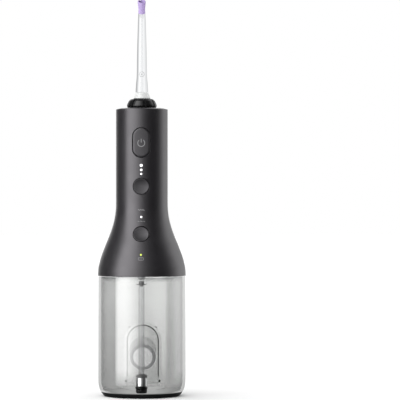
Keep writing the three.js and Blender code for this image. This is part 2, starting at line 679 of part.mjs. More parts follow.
add('piston', join(
  cut(
    rodY(3.3, WRIST_Y - 2.2, 11, 0, ROD_Z, 16),
    block(-5, 5, WRIST_Y - 3, WRIST_Y + 2.6, ROD_BOTTOM - GAP, ROD_TOP + GAP), // fork slot
    pistonRing(2.6, 4, 8.9, 10.3),                                             // seal groove
  ),
  rodZ(0.85, ROD_Z - 2.6, ROD_Z + 2.6, 0, WRIST_Y, 12),                        // wrist pin
), LOOK.piston);
add('piston_seal', pistonRing(2.72, 3.48, 9.05, 10.15), LOOK.pistonSeal);

// ------------------------------------------------------------ pump and hoses

add('pump_body', cut(
  join(
    rodY(5.2, 2.0, 18.0, 0, ROD_Z, 16),
    block(-6.4, 6.4, 16.0, 18.0, ROD_Z - PUMP_HH, ROD_Z + PUMP_HH),
    block(-5, 5, 4, 14, 92.3, 94.5),
  ),
  rodY(PUMP_BORE, 0, 20, 0, ROD_Z, 16),
), LOOK.pump);

// head with a hose barb, a valve chamber and a passage between them on each side
add('pump_head', cut(
  join(
    block(-11, 11, 18.3, 24.3, ROD_Z - PUMP_HH, ROD_Z + PUMP_HH),
    ...[BARB_X, -BARB_X].map((x) => rodY(1.3, 13.4, 19, x, ROD_Z, 12)),
  ),
  ...[VALVE_X, -VALVE_X].map((x) => rodY(1.75, 18, 22.2, x, ROD_Z, 12)),
  rodX(PASSAGE_R, VALVE_X, BARB_X, 20.9, ROD_Z, 8),
  rodX(PASSAGE_R, -BARB_X, -VALVE_X, 20.9, ROD_Z, 8),
  ...[BARB_X, -BARB_X].map((x) => rodY(PASSAGE_R, 10, 21.3, x, ROD_Z, 8)),
), LOOK.pump);

add('inlet_valve', join(
  rodY(1.45, 18.6, 19.2, VALVE_X, ROD_Z, 12),
  rodY(0.5, 19.0, 21.6, VALVE_X, ROD_Z, 10),
), LOOK.valve);
add('outlet_valve', join(
  rodY(1.45, 21.0, 21.6, -VALVE_X, ROD_Z, 12),
  rodY(0.5, 18.8, 21.2, -VALVE_X, ROD_Z, 10),
), LOOK.valve);

add('suction_port', cut(
  join(
    turned([
      [0, 86.5], [1.9, 86.5], [2.75, 87.6], [2.75, 89.0], [3.0, 89.4], [3.0, 92.3],
      [4.3, 92.3], [4.3, 93.0], [2.5, 93.1], [2.5, 96.6], [0, 96.6],
    ], 14, HOSE_Y),
    rodX(1.3, 0, 5.2, HOSE_Y, SUCTION_PORT_Z, 8),
  ),
  rodZ(1.0, 80, 95.4, 0, HOSE_Y, 8),
  rodX(PASSAGE_R, 0, 8, HOSE_Y, SUCTION_PORT_Z, 8),
), LOOK.suctionPort);

const pumpHose = (points, cornerRadius, steps) =>
  sweep(roundedPath(points, cornerRadius), PUMP_HOSE_R, steps, 4, PUMP_HOSE_BORE);
add('inlet_hose', pumpHose([
  [BARB_X, 18.0, ROD_Z], [BARB_X, 9, ROD_Z],
  [BARB_X, HOSE_Y, SUCTION_PORT_Z], [3.7, HOSE_Y, SUCTION_PORT_Z],
], 4, 10), LOOK.pumpHose);
add('outlet_hose', pumpHose([
  [-9.2, 0, 191.9], [-13.2, 0, 187.9], [-13.2, 0, 106],
  [-BARB_X, 6, ROD_Z], [-BARB_X, 18.0, ROD_Z],
], 5, 22), LOOK.pumpHose);

// suction hose with its weighted filter
add('hose_connector', cut(
  join(
    turned([
      [0, 78.2], [1.25, 78.2], [1.25, 82.5], [1.9, 82.7],
      [1.9, 84.5], [1.2, 84.7], [1.2, 85.6], [0, 85.6],
    ], 14, HOSE_Y),
    rodX(0.55, -3.5, 3.5, HOSE_Y, 83.2, 8),
  ),
  rodZ(0.75, 70, 90, 0, HOSE_Y, 8),
), LOOK.connector);
add('suction_hose', ring(HOSE_BORE, HOSE_R, 15.0, 82.3, 16, HOSE_Y), LOOK.suctionHose);
add('filter_cap', turned([
  [2.4, 14.6], [4.3, 14.6], [4.3, 16.0], [3.9, 16.5], [2.4, 16.8], [2.4, 14.6],
], 18, HOSE_Y), LOOK.filter);
add('filter_weight', ring(1.5, 4.22, 7.75, 14.4, 20, HOSE_Y), LOOK.weight);
add('filter_base', cut(
  turned([[0, 2.7], [3.6, 2.7], [4.1, 3.2], [4.5, 7.5], [0, 7.5]], 18, HOSE_Y),
  rodZ(3.0, 3.9, 8, 0, HOSE_Y, 8),
  block(-6, 6, HOSE_Y - 0.5, HOSE_Y + 0.5, 2, 3.2),
  block(-0.5, 0.5, HOSE_Y - 6, HOSE_Y + 6, 2, 3.2),
  rodZ(0.8, 2, 5, 0, HOSE_Y, 10),
), LOOK.filter);

// ------------------------------------------------------ nozzle, knob, socket

const SOCKET_R = 7.5, SOCKET_BORE = 3.95, KNOB_LOBES = 8;

add('nozzle_socket', cut(
  join(
    turned([[0, 193.5], [SOCKET_R, 193.5], [SOCKET_R, 202.4], [0, 202.4]], 20),
    rodBetween(1.25, [-4.5, 0, 196.6], [-10.3, 0, 190.8], 10),
  ),
  turned([
    [0, 198.4], [SOCKET_BORE, 198.4], [SOCKET_BORE, 199.9], [4.75, 199.9],
    [4.75, 201.2], [SOCKET_BORE, 201.2], [SOCKET_BORE, 203], [0, 203],
  ], 20),
  rodBetween(0.7, [-2.4, 0, 198.7], [-12, 0, 189.1], 8),
), LOOK.socket);
add('socket_o_ring', ring(3.8, 4.6, 200.05, 201.05, 20), LOOK.oRing);

// grooved collar with a hub that turns in the top of the handle
function rotaryKnob() {
  const turn = deg(-14.5);
  // one lobe: [fraction of the lobe's pitch, radius]
  const lobe = [[-0.42, 11.2], [-0.14, 11.2], [0.14, 11.2], [0.42, 11.2], [0.5, 10.3]];
  const points = [];
  for (let i = 0; i < KNOB_LOBES; i++) {
    for (const [fraction, radius] of lobe) {
      const angle = turn + (i + fraction) * 2 * Math.PI / KNOB_LOBES;
      points.push([radius * Math.cos(angle), radius * Math.sin(angle)]);
    }
  }
  const crown = turned([
    [0, 214.3], [10.2, 214.3], [11.15, 215.6], [11.2, 216.2],
    [10.65, 217.7], [9.8, 219.2], [8.2, 220.6], [0, 220.6],
  ], 24);
  const hub = turned([
    [0, 204.8], [6.6, 204.8], [7.0, 205.3], [7.0, 209.9], [6.0, 209.9],
    [6.0, 211.3], [7.0, 211.3], [7.0, 214.9], [0, 214.9],
  ], 20);
  return cut(
    join(meet(prismZ(outline(points), 214, 221), crown), hub),
    rodZ(SOCKET_BORE, 200, 225, 0, 0, 16),
    rodZ(4.85, 216.9, 225, 0, 0, 16),
  );
}
add('rotary_knob', rotaryKnob(), LOOK.knob);
add('knob_clip', cut(
  ring(6.2, 9.0, 210.05, 211.05, 20), block(-4.5, 4.5, -12, 0, 208, 213),
), LOOK.spring);

// point on the nozzle's bend, and the straight line that leaves it for the tip
const onBend = (angle) =>
  [0, -BEND_R * (1 - Math.cos(angle)), BEND_Z + BEND_R * Math.sin(angle)];
const tipDirection = new THREE.Vector3(0, -Math.sin(BEND), Math.cos(BEND));
const pastBend = (distance) =>
  new THREE.Vector3(...onBend(BEND)).addScaledVector(tipDirection, distance).toArray();

// centre line: straight up from `bottom`, round the bend, then `tail` towards the tip
class NozzleLine extends THREE.Curve {
  constructor(bottom, tail) {
    super();
    this.bottom = bottom;
    this.tail = tail;
  }

  getPoint(t, target = new THREE.Vector3()) {
    const straight = BEND_Z - this.bottom, arc = BEND_R * BEND;
    const travel = t * (straight + arc + this.tail);
    if (travel <= straight) return target.set(0, 0, this.bottom + travel);
    if (travel <= straight + arc) return target.set(...onBend((travel - straight) / BEND_R));
    return target.set(...pastBend(travel - straight - arc));
  }
}

function nozzleShaft() {
  const straight = turned([
    [0, 199.0], [3.2, 199.0], [STEM_R, 199.5], [STEM_R, 217.2], [4.5, 217.2], [4.5, 220.6],
    [3.7, 220.7], [3.7, 225.85], [4.68, 225.85], [4.61, 227.6], [4.18, 233.6], [3.86, 236.5],
    [3.7, 245.5], [3.36, 263.4], [2.95, BEND_Z], [0, BEND_Z],
  ], 14);
  const bent = sweep(new NozzleLine(BEND_Z - 1.0, -0.4), 2.62, 6, 7);
  const spigot = rodBetween(1.75, pastBend(-0.8), pastBend(4.0), 12);
  const bore = join(
    rodZ(STEM_BORE, 197, BEND_Z, 0, 0, 8),
    sweep(new NozzleLine(BEND_Z - 1.5, 6), STEM_BORE - 0.02, 6, 4),
  );
  return cut(join(straight, bent, spigot), bore);
}
add('nozzle_shaft', nozzleShaft(), LOOK.nozzle);
add('nozzle_collar', turned([
  [4.0, 220.95], [6.4, 220.95], [6.3, 221.6], [5.2, 224.4],
  [4.75, 225.55], [4.0, 225.55], [4.0, 220.95],
], 20), LOOK.collar);

// soft tip, split into four petals by two crossed slits
function nozzleTip() {
  const place = (geometry) => {
    geometry.applyQuaternion(new THREE.Quaternion().setFromUnitVectors(
      new THREE.Vector3(0, 0, 1), tipDirection));
    geometry.translate(...onBend(BEND));
    return toSolid(geometry);
  };
  // [radius, distance past the bend]
  const profile = [
    [1.95, -0.1], [2.6, -0.1], [2.55, 1.7], [2.7, 5.2], [3.05, 9.2],
    [2.8, 9.8], [1.2, 9.2], [1.2, 4.4], [1.95, 4.4], [1.95, -0.1],
  ];
  const body = new THREE.LatheGeometry(profile.map((p) => new THREE.Vector2(...p)), 18);
  body.rotateX(Math.PI / 2);
  const slits = [[8, 0.7], [0.7, 8]].map(([width, depth]) => {
    const slit = new THREE.BoxGeometry(width, depth, 2.2);
    slit.translate(0, 0, 9.6);
    slit.rotateZ(deg(20));
    return place(slit);
  });
  return cut(place(body), ...slits);
}
add('nozzle_tip', nozzleTip(), LOOK.tip);

export default group;
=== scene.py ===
"""A cordless hand-held pump unit with a water tank.

It stands upright on z = 0 along +Z: a clear tank with a suction hose at the foot, a black handle
above it, then a scalloped knob and a clear nozzle that bends forwards into a soft purple tip.
Buttons and lights face the front (-Y); the fill door, charging port and release button are at
the back (+Y). Shapes are written in millimetres and built in metres.
"""

import json
import math

import bmesh
import bpy
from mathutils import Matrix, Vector


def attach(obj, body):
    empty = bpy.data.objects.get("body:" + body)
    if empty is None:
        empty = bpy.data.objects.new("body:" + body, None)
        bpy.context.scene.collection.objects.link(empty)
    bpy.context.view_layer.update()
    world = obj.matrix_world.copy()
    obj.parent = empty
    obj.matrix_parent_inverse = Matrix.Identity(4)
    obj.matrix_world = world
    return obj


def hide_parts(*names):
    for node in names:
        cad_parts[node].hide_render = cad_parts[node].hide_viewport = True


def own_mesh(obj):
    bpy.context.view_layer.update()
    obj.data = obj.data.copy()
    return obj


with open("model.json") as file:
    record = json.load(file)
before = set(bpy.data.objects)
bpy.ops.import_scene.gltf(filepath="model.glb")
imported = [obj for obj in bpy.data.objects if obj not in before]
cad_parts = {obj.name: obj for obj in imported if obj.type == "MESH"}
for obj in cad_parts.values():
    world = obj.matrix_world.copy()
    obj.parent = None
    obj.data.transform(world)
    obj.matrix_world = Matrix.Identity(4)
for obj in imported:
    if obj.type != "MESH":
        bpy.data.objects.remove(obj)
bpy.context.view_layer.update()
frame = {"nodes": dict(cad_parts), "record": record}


MM = 0.001
FRONT, BACK = -1, 1     # side of the handle, as the sign of y
BODY_R = 19.25          # straight upper part of the handle
PLUG_Z = 26.7           # axis of the round filling plug in the tank's back
HOSE_Y = -12.0          # axis of the suction hose
scene = bpy.context.scene
rad = math.radians

# ---------------------------------------------------------------------------
# node trees
# ---------------------------------------------------------------------------

NOISE_SPAN = (0.3, 0.7)     # the part of a noise's values that is spread over the full range
MIX_SOCKETS = {"FLOAT": (2, 3, 0), "RGBA": (6, 7, 2)}   # two inputs and the output of each kind


class Net:
    """A node tree being built. A value that is a socket is linked, any other is set."""

    def __init__(self, tree):
        self.tree = tree
        tree.nodes.clear()

    def put(self, socket, value):
        if isinstance(value, bpy.types.NodeSocket):
            self.tree.links.new(value, socket)
        elif socket.type == "RGBA":
            socket.default_value = (*value[:3], 1.0)
        else:
            socket.default_value = value

    def node(self, kind, *values, **named):
        """Add a node. Values fill its first sockets. Of the named ones, lower-case names are
        the node's settings and capitalised names are its sockets."""
        node = self.tree.nodes.new("ShaderNode" + kind)
        for name, value in named.items():
            if name.islower():
                setattr(node, name, value)
            else:
                self.put(node.inputs[name.replace("_", " ")], value)
        for socket, value in zip(node.inputs, values):
            self.put(socket, value)
        return node

    def add(self, kind, *values, **named):
        """Add a node and return its first output."""
        return self.node(kind, *values, **named).outputs[0]

    def math(self, operation, *values):
        return self.add("Math", *values, operation=operation)

    def times(self, first, *others):
        for other in others:
            first = self.math("MULTIPLY", first, other)
        return first

    def remap(self, value, source, target=(0, 1), **settings):
        return self.add("MapRange", value, *source, *target, **settings)

    def mix(self, factor, first, second, kind="RGBA"):
        node = self.node("Mix", factor, data_type=kind)
        first_in, second_in, result = MIX_SOCKETS[kind]
        self.put(node.inputs[first_in], first)
        self.put(node.inputs[second_in], second)
        return node.outputs[result]


MATERIALS = {}


class MaterialNet(Net):
    """A material's nodes, textured in object space."""

    def __init__(self, name):
        self.material = bpy.data.materials.new(name)
        self.material.use_nodes = True
        super().__init__(self.material.node_tree)
        self.name = name
        self.coord = self.node("TexCoord").outputs["Object"]
        self.split = None

    def axis(self, letter):
        if self.split is None:
            self.split = self.node("SeparateXYZ", self.coord)
        return self.split.outputs[letter]

    def along(self, letter, start, end, low=0, high=1):
        """Goes from low to high between two places, in mm, along an axis."""
        return self.remap(self.axis(letter), (start * MM, end * MM), (low, high))

    def noise(self, scale, detail, rough=0.6, stretch=None):
        vector = self.add("Mapping", self.coord, Scale=stretch) if stretch else self.coord
        return self.add("TexNoise", Vector=vector, Scale=scale, Detail=detail, Roughness=rough)

    def drift(self, scale, detail, rough=0.6, low=0, high=1):
        """Noise spread between low and high."""
        return self.remap(self.noise(scale, detail, rough), NOISE_SPAN, (low, high))

    def facing(self, blend=0.5):
        return self.node("LayerWeight", Blend=blend).outputs["Facing"]

    def geometry(self, output):
        return self.node("NewGeometry").outputs[output]

    def bump(self, height, strength, depth=0.02, normal=None):
        node = self.node("Bump", Height=height, Strength=strength, Distance=depth * MM)
        if normal is not None:
            self.put(node.inputs["Normal"], normal)
        return node.outputs[0]

    def finish(self, shader):
        self.node("OutputMaterial", shader)
        MATERIALS[self.name] = self.material
        return self.material


def scaled(color, factor, lift=0.0):
    return tuple(min(1, channel * factor + lift) for channel in color)


# ---------------------------------------------------------------------------
# the studio's brightness by direction
# ---------------------------------------------------------------------------

ROOM_PEAK = 6.0     # brightness that the ramp's white stands for
# compass angle in degrees (0 is the front, negative is left), brightness
ROOM_BANDS = [
    (-180, 1.35), (-165, 1.6), (-150, 0.95), (-135, 0.28), (-120, 0.20), (-95, 0.22), (-74, 0.42),
    (-69.5, 5.3), (-60, 5.9), (-45, 5.9), (-30, 5.0), (-18, 3.6), (-6, 2.0), (4, 1.0), (15, 0.5),
    (28, 0.16), (45, 0.05), (65, 0.05), (80, 0.25), (92, 0.9), (105, 1.9), (118, 2.3), (135, 1.4),
    (150, 0.9), (165, 1.1), (180, 1.35),
]
# height of the unit direction over which a zone fades in, brightness there
OVERHEAD_ZONE = ((0.78, 0.95), 0.35)
TABLE_ZONE = ((-0.13, -0.42), 0.06)


def room_light():
    """Node group: softboxes by compass angle, dim overhead and dark below."""
    group = bpy.data.node_groups.new("room_light", "ShaderNodeTree")
    group.interface.new_socket("Direction", in_out="INPUT", socket_type="NodeSocketVector")
    group.interface.new_socket("Light", in_out="OUTPUT", socket_type="NodeSocketFloat")
    net = Net(group)
    given = group.nodes.new("NodeGroupInput")
    result = group.nodes.new("NodeGroupOutput")
    x, y, z = net.node("SeparateXYZ", given.outputs[0]).outputs
    angle = net.math("ARCTAN2", x, net.times(y, -1))
    ramp = net.node("ValToRGB", net.remap(angle, (-math.pi, math.pi)))
    ramp.color_ramp.interpolation = "LINEAR"
    elements = ramp.color_ramp.elements
    while len(elements) > 1:
        elements.remove(elements[-1])
    for i, (degrees, brightness) in enumerate(ROOM_BANDS):
        position = (degrees + 180) / 360
        element = elements.new(position) if i else elements[0]
        element.position = position
        element.color = (brightness / ROOM_PEAK,) * 3 + (1,)
    light = net.times(ramp.outputs[0], ROOM_PEAK)
    for span, brightness in (OVERHEAD_ZONE, TABLE_ZONE):
        zone = net.remap(z, span, interpolation_type="SMOOTHSTEP")
        light = net.mix(zone, light, brightness, "FLOAT")
    net.put(result.inputs[0], light)
    return group


ROOM = room_light()

# ---------------------------------------------------------------------------
# opaque materials
# ---------------------------------------------------------------------------


def plastic(name, color, rough, grain=5200, grain_strength=0.25, vary=0.12, rough_vary=0.05,
            spec=0.5, edge=0.15, fleck=0.35, **principled):
    """Moulded or coated: fine grain, a slow drift in colour and gloss, and lighter sharp edges.
    vary and rough_vary are the drifts, edge and fleck how strongly edges and grain lighten."""
    net = MaterialNet(name)
    fine = net.noise(scale=grain, detail=2)
    base = net.mix(net.drift(scale=55, detail=3), scaled(color, 1 - vary), scaled(color, 1 + vary))
    flecks = net.remap(fine, source=(0.35, 0.65), target=(0, fleck))
    base = net.mix(flecks, base, scaled(color, 1.25, lift=0.004))
    # sharp convex edges are made lighter
    sharp_edges = net.remap(net.geometry("Pointiness"), source=(0.52, 0.62), target=(0, edge))
    base = net.mix(sharp_edges, base, scaled(color, 1.6, lift=0.03))
    gloss = net.drift(scale=90, detail=4, rough=0.65,
                      low=max(0.02, rough - rough_vary), high=min(1, rough + rough_vary))
    return net.finish(net.add(
        "BsdfPrincipled", Base_Color=base, Roughness=gloss, Normal=net.bump(fine, grain_strength),
        Specular_IOR_Level=spec, Coat_Roughness=0.05, **principled))


def metal(name, color, rough, brushed=(1, 1, 30), strength=0.15, tint=0.08):
    """Bare or plated metal with drawn or ground marks, finest along the largest of brushed."""
    net = MaterialNet(name)
    marks = net.noise(scale=900, detail=3, stretch=brushed)
    base = net.mix(net.drift(scale=120, detail=3), scaled(color, 1 - tint), scaled(color, 1 + tint))
    gloss = net.remap(marks, NOISE_SPAN, (max(0.02, rough * 0.7), rough * 1.3))
    return net.finish(net.add("BsdfPrincipled", Base_Color=base, Metallic=1.0, Roughness=gloss,
                              Normal=net.bump(marks, strength)))


def light_guide(name, color, strength):
    """Glowing window, dimmer where it is seen edge on."""
    net = MaterialNet(name)
    glow = net.remap(net.facing(blend=0.4), (0, 1), (strength, strength * 0.6))
    glow = net.times(glow, net.drift(scale=2400, detail=2, rough=0.5, low=0.92, high=1.08))
    return net.finish(net.add("BsdfPrincipled", Base_Color=color, Roughness=0.25,
                              Emission_Color=color, Emission_Strength=glow))


def finish_tip(net, base):
    normal = net.bump(net.noise(scale=3000, detail=2, rough=0.5), strength=0.05)
    return net.finish(net.add("BsdfPrincipled", Base_Color=base, Roughness=0.45, Normal=normal))


def tip_outside():
    """Soft purple, darker to the right as painted shade on the side away from the light, and darker
    where it is seen edge on.
    """
    net = MaterialNet("tip_purple")
    base = net.mix(net.drift(scale=420, detail=3), (0.51, 0.395, 0.71), (0.55, 0.43, 0.75))
    # painted shade: darker towards the right, the side turned away from the light
    base = net.mix(net.along("X", -0.8, 2.6), base, (0.36, 0.255, 0.53))
    base = net.mix(net.math("POWER", net.facing(), 4.0), base, (0.33, 0.22, 0.50))
    return finish_tip(net, base)


def tip_inside():
    """The tip's mouth, with painted shade and light: dark at the left and pale at the right, as if
    lit from the left.
    """
    net = MaterialNet("tip_inner")
    # painted shade on the mouth's left and painted light on its right
    base = net.mix(net.along("X", -1.2, 1.4), (0.12, 0.07, 0.20), (0.66, 0.55, 0.86))
    base = net.mix(net.drift(scale=420, detail=3, high=0.12), base, (0.40, 0.30, 0.60))
    return finish_tip(net, base)


def board():
    """Green circuit board with a fine lighter grid."""
    net = MaterialNet("board_green")
    grid = net.add("TexBrick", Vector=net.coord, Scale=420.0, Color1=(0.010, 0.085, 0.040),
                   Color2=(0.014, 0.10, 0.048), Mortar=(0.03, 0.16, 0.08))
    base = net.mix(net.drift(scale=500, detail=3, high=0.3), grid, (0.02, 0.12, 0.06))
    normal = net.bump(net.noise(scale=1600, detail=2, rough=0.5), strength=0.2, depth=0.03)
    return net.finish(net.add("BsdfPrincipled", Base_Color=base, Roughness=0.3, Coat_Weight=0.4,
                              Normal=normal))


# ---------------------------------------------------------------------------
# clear materials
# ---------------------------------------------------------------------------


def clear_tint(net, facing, face, edge, right_edge, edge_power, sink, ring):
    """Colour let through: face seen square on, edge seen edge on."""
    # painted shade: with right_edge the edge tint changes from the left side to the right, one side
    # darker as light falls unevenly
    if right_edge:
        edge = net.mix(net.along("X", -0.5, 0.5), edge, right_edge)
    tint = net.mix(net.math("POWER", facing, edge_power), face, edge)
    cloud = net.remap(net.noise(scale=38, detail=3, rough=0.55), (0.35, 0.65), (0, 0.04))
    tint = net.mix(cloud, tint, scaled(face, 0.88))
    if sink:
        start, end, low = sink
        kept = net.along("Z", start, end, low, 1.0)
        tint = net.mix(net.math("SUBTRACT", 1.0, kept), tint, (0.0, 0.0, 0.0))
    if ring:
        inner, outer, dark = ring
        height = net.math("SUBTRACT", net.axis("Z"), PLUG_Z * MM)
        x = net.axis("X")
        squares = net.math("ADD", net.times(height, height), net.times(x, x))
        radius = net.math("SQRT", squares)
        rise = net.remap(radius, ((inner - 0.15) * MM, (inner + 0.25) * MM))
        fall = net.remap(radius, ((outer - 0.2) * MM, (outer + 0.2) * MM), (1, 0))
        tint = net.mix(net.times(rise, fall), tint, dark)
    return tint


def add_haze(net, through, haze, color):
    scatter = net.add("MixShader", 0.5, net.add("BsdfTranslucent", Color=color),
                      net.add("BsdfDiffuse", Color=color))
    cloud = net.drift(scale=300, detail=3, low=haze * 0.85, high=haze * 1.15)
    return net.add("MixShader", cloud, through, scatter)


def paint_room_reflection(net, normal, share, rough):
    """Painted reflection: the wall gives off light as bright as the room is in the mirrored
    direction, for camera rays only.
    """
    view = net.add("VectorMath", net.geometry("Incoming"), operation="SCALE", Scale=-1.0)
    mirrored = net.add("VectorMath", view, normal, operation="REFLECT")
    room = net.add("Group", mirrored, node_tree=ROOM)
    path = net.node("LightPath").outputs
    # inner faces are seen through the wall in front of them
    depth = net.remap(path["Transparent Depth"], (0, 1), (1.0, 0.55))
    seen = net.times(path["Is Camera Ray"], depth)
    dull = net.drift(scale=150, detail=3, low=1.0 - rough, high=1.0 + rough)
    return net.add("Emission", Color=(1, 1, 1), Strength=net.times(room, share, seen, dull))


def paint_tank_floor_reflection(net, shader, facing):
    """Painted reflection: the tank's bottom, seen at a low angle, and a sill at the back give off
    light that stands in for the walls they mirror.
    """
    upright = net.node("SeparateXYZ", net.geometry("True Normal")).outputs[2]
    flat = net.remap(net.math("ABSOLUTE", upright), (0.25, 0.42))
    shallow = net.remap(facing, (0.42, 0.66))
    bottom = net.times(flat, net.along("Y", -26.2, -25.2), shallow)
    sill = net.times(net.along("Y", 23.0, 23.4), net.along("Y", 24.0, 24.4, 1, 0))
    layer = net.times(net.along("Z", 4.4, 5.4, 1, 0), net.along("Z", 1.6, 1.9))
    outward = net.math("SUBTRACT", 1.0, net.geometry("Backfacing"))
    mask = net.times(net.math("MAXIMUM", bottom, sill), net.times(layer, outward))
    glow = net.mix(net.drift(scale=60, detail=2, rough=0.5),
                   (0.95, 0.95, 0.945), (1.0, 1.0, 0.995))
    across = net.remap(net.math("ABSOLUTE", net.axis("X")), (10 * MM, 30 * MM), (1.0, 0.50))
    # painted reflection: emitted light, dimmer towards the sides, in place of the mirrored walls
    painted_floor_glow = net.add("AddShader",
                     net.add("Emission", Color=glow, Strength=net.times(across, 0.56)),
                     net.add("BsdfDiffuse", Color=(0.30, 0.30, 0.30)))
    return net.add("MixShader", mask, shader, painted_floor_glow)


def clear(name, face, edge, gloss, graze, rough=0.03, haze=0.0, haze_color=None, edge_power=3.0,
          gloss_power=4.0, ripple=0.03, grain=0.04, right_edge=None, sink=None, ring=None,
          fade=None, paint_floor_reflection=False):
    """Thin clear wall: tints what is behind it, more when seen edge on, and carries a painted
    reflection of the room, given off as light.
    gloss and graze: share of the painted reflection square on and edge on.
    ripple and grain: strengths of the broad and the fine bump.
    sink: (z, z, share) darkens the tint downwards, to that share at the first height.
    ring: (inner radius, outer radius, tint) of a thick ring round the filling plug.
    fade: (z, z, share) weakens the painted reflection downwards, to that share at the first height."""
    net = MaterialNet(name)
    facing = net.facing()
    tint = clear_tint(net, facing, face, edge, right_edge, edge_power, sink, ring)
    normal = net.bump(net.noise(scale=26, detail=2, rough=0.5), ripple, depth=0.6)
    if grain:
        normal = net.bump(net.noise(scale=2600, detail=2), grain, normal=normal)
    through = net.add("BsdfTransparent", Color=tint)
    if haze:
        through = add_haze(net, through, haze, haze_color)
    share = net.remap(net.math("POWER", facing, gloss_power), (0, 1), (gloss, graze))
    if fade:
        start, end, low = fade
        share = net.times(share, net.along("Z", start, end, low, 1.0))
    # the room's reflection is painted on as light the wall gives off
    painted_reflection = paint_room_reflection(net, normal, share, rough)
    kept = net.add("MixShader", share, through, net.add("BsdfTransparent", Color=(0, 0, 0)))
    shader = net.add("AddShader", kept, painted_reflection)
    net.material.cycles.emission_sampling = "NONE"
    # paint the walls' reflection on the tank's bottom and back sill
    if paint_floor_reflection:
        shader = paint_tank_floor_reflection(net, shader, facing)
    return net.finish(shader)


# ---------------------------------------------------------------------------
# the materials themselves
# ---------------------------------------------------------------------------

WARM_SHEEN = (0.99, 0.96, 1.0)

plastic("handle_black", (0.0074, 0.0068, 0.0082), rough=0.36, grain=5600, grain_strength=0.30,
        vary=0.08, rough_vary=0.035, spec=0.62, edge=0.25, Specular_Tint=WARM_SHEEN)
plastic("button_black", (0.0135, 0.0130, 0.0145), rough=0.43, grain=7000, grain_strength=0.22,
        vary=0.06, rough_vary=0.03, spec=0.55, edge=0.35, Specular_Tint=WARM_SHEEN)
plastic("base_rubber", (0.0065, 0.0065, 0.007), rough=0.5, grain=3600, grain_strength=0.3,
        spec=0.12, edge=0.08)
plastic("cover_rubber", (0.012, 0.012, 0.013), rough=0.6, grain=3200, grain_strength=0.4,
        spec=0.3, edge=0.3)
plastic("seal_black", (0.012, 0.012, 0.012), rough=0.5, grain=2600, grain_strength=0.3,
        spec=0.35)
clear("seal_pale", (0.965, 0.966, 0.966), (0.95, 0.95, 0.952), gloss=0.02, graze=0.15,
      rough=0.25, haze=0.07, haze_color=(0.95, 0.95, 0.95))
# painted shade: a darker tint for the seal's upper lip, standing in for the shaded gap under the
# casing
clear("seal_painted_shade", (0.80, 0.80, 0.805), (0.52, 0.52, 0.525), gloss=0.02, graze=0.1, rough=0.25)
plastic("inner_black", (0.02, 0.02, 0.022), rough=0.45, grain=2800, grain_strength=0.3)
plastic("knob_gloss", (0.0050, 0.0050, 0.0054), rough=0.20, grain=1400, grain_strength=0.03,
        vary=0.05, rough_vary=0.03, spec=0.27, edge=0.12)
plastic("filter_black", (0.006, 0.006, 0.0065), rough=0.28, grain=2600, grain_strength=0.15,
        spec=0.5, edge=0.3)
plastic("collar_white", (0.66, 0.67, 0.665), rough=0.35, grain=3000, grain_strength=0.05,
        vary=0.02, edge=0.0, fleck=0.04)
plastic("pump_ivory", (0.72, 0.70, 0.64), rough=0.45, grain=1800, grain_strength=0.3, vary=0.05)
plastic("gear_nylon", (0.78, 0.76, 0.69), rough=0.4, grain=2400, grain_strength=0.2, vary=0.05,
        Subsurface_Weight=0.1, Subsurface_Radius=(0.002, 0.002, 0.002))
plastic("valve_red", (0.38, 0.10, 0.07), rough=0.5, grain=2600, vary=0.08)
plastic("cell_blue", (0.03, 0.13, 0.32), rough=0.3, grain=1400, grain_strength=0.12, vary=0.07,
        Coat_Weight=0.3)
metal("plated_steel", (0.62, 0.62, 0.62), rough=0.28)
metal("spring_steel", (0.55, 0.56, 0.57), rough=0.25, brushed=(30, 1, 1))
metal("motor_steel", (0.55, 0.56, 0.57), rough=0.32, brushed=(1, 1, 18), strength=0.2)
metal("shaft_steel", (0.66, 0.67, 0.68), rough=0.2, brushed=(1, 1, 14))
metal("brass", (0.72, 0.52, 0.22), rough=0.28, brushed=(14, 14, 1))
metal("weight_steel", (0.78, 0.79, 0.80), rough=0.10, brushed=(1, 1, 22), strength=0.08,
      tint=0.03)
light_guide("light_white", (1.0, 1.0, 1.0), strength=1.15)
light_guide("light_rim", (0.92, 0.93, 0.95), strength=0.24)
light_guide("light_green", (0.60, 0.72, 0.10), strength=0.62)
clear("tank_clear", (0.853, 0.856, 0.852), (0.68, 0.682, 0.68), gloss=0.060, graze=0.55,
      rough=0.022, edge_power=1.6, ripple=0.018, sink=(15, 72, 0.908), fade=(8, 21, 0.22),
      paint_floor_reflection=True)
clear("tank_edge", (0.20, 0.20, 0.20), (0.08, 0.08, 0.08), gloss=0.05, graze=0.6,
      edge_power=1.0, ripple=0.02)
clear("door_clear", (0.982, 0.984, 0.982), (0.80, 0.805, 0.80), gloss=0.018, graze=0.35,
      rough=0.05)
clear("seal_grey", (0.895, 0.896, 0.898), (0.55, 0.55, 0.56), gloss=0.012, graze=0.2, rough=0.3,
      haze=0.06, haze_color=(0.35, 0.35, 0.355), ring=(7.3, 9.85, (0.55, 0.55, 0.555)))
clear("collar_grey", (0.992, 0.993, 0.993), (0.965, 0.966, 0.968), gloss=0.02, graze=0.2,
      rough=0.12, haze=0.04, haze_color=(0.92, 0.93, 0.94), edge_power=3.5)
clear("port_grey", (0.80, 0.81, 0.82), (0.35, 0.355, 0.36), gloss=0.05, graze=0.4, rough=0.15,
      haze=0.45, haze_color=(0.30, 0.305, 0.31))
clear("hose_clear", (0.905, 0.907, 0.909), (0.58, 0.585, 0.59), gloss=0.03, graze=0.3,
      rough=0.12, haze=0.03, haze_color=(0.70, 0.71, 0.72), sink=(16, 52, 0.80))
clear("hose_bore", (0.96, 0.962, 0.963), (0.03, 0.03, 0.032), gloss=0.02, graze=0.1, rough=0.2,
      edge_power=3.6)
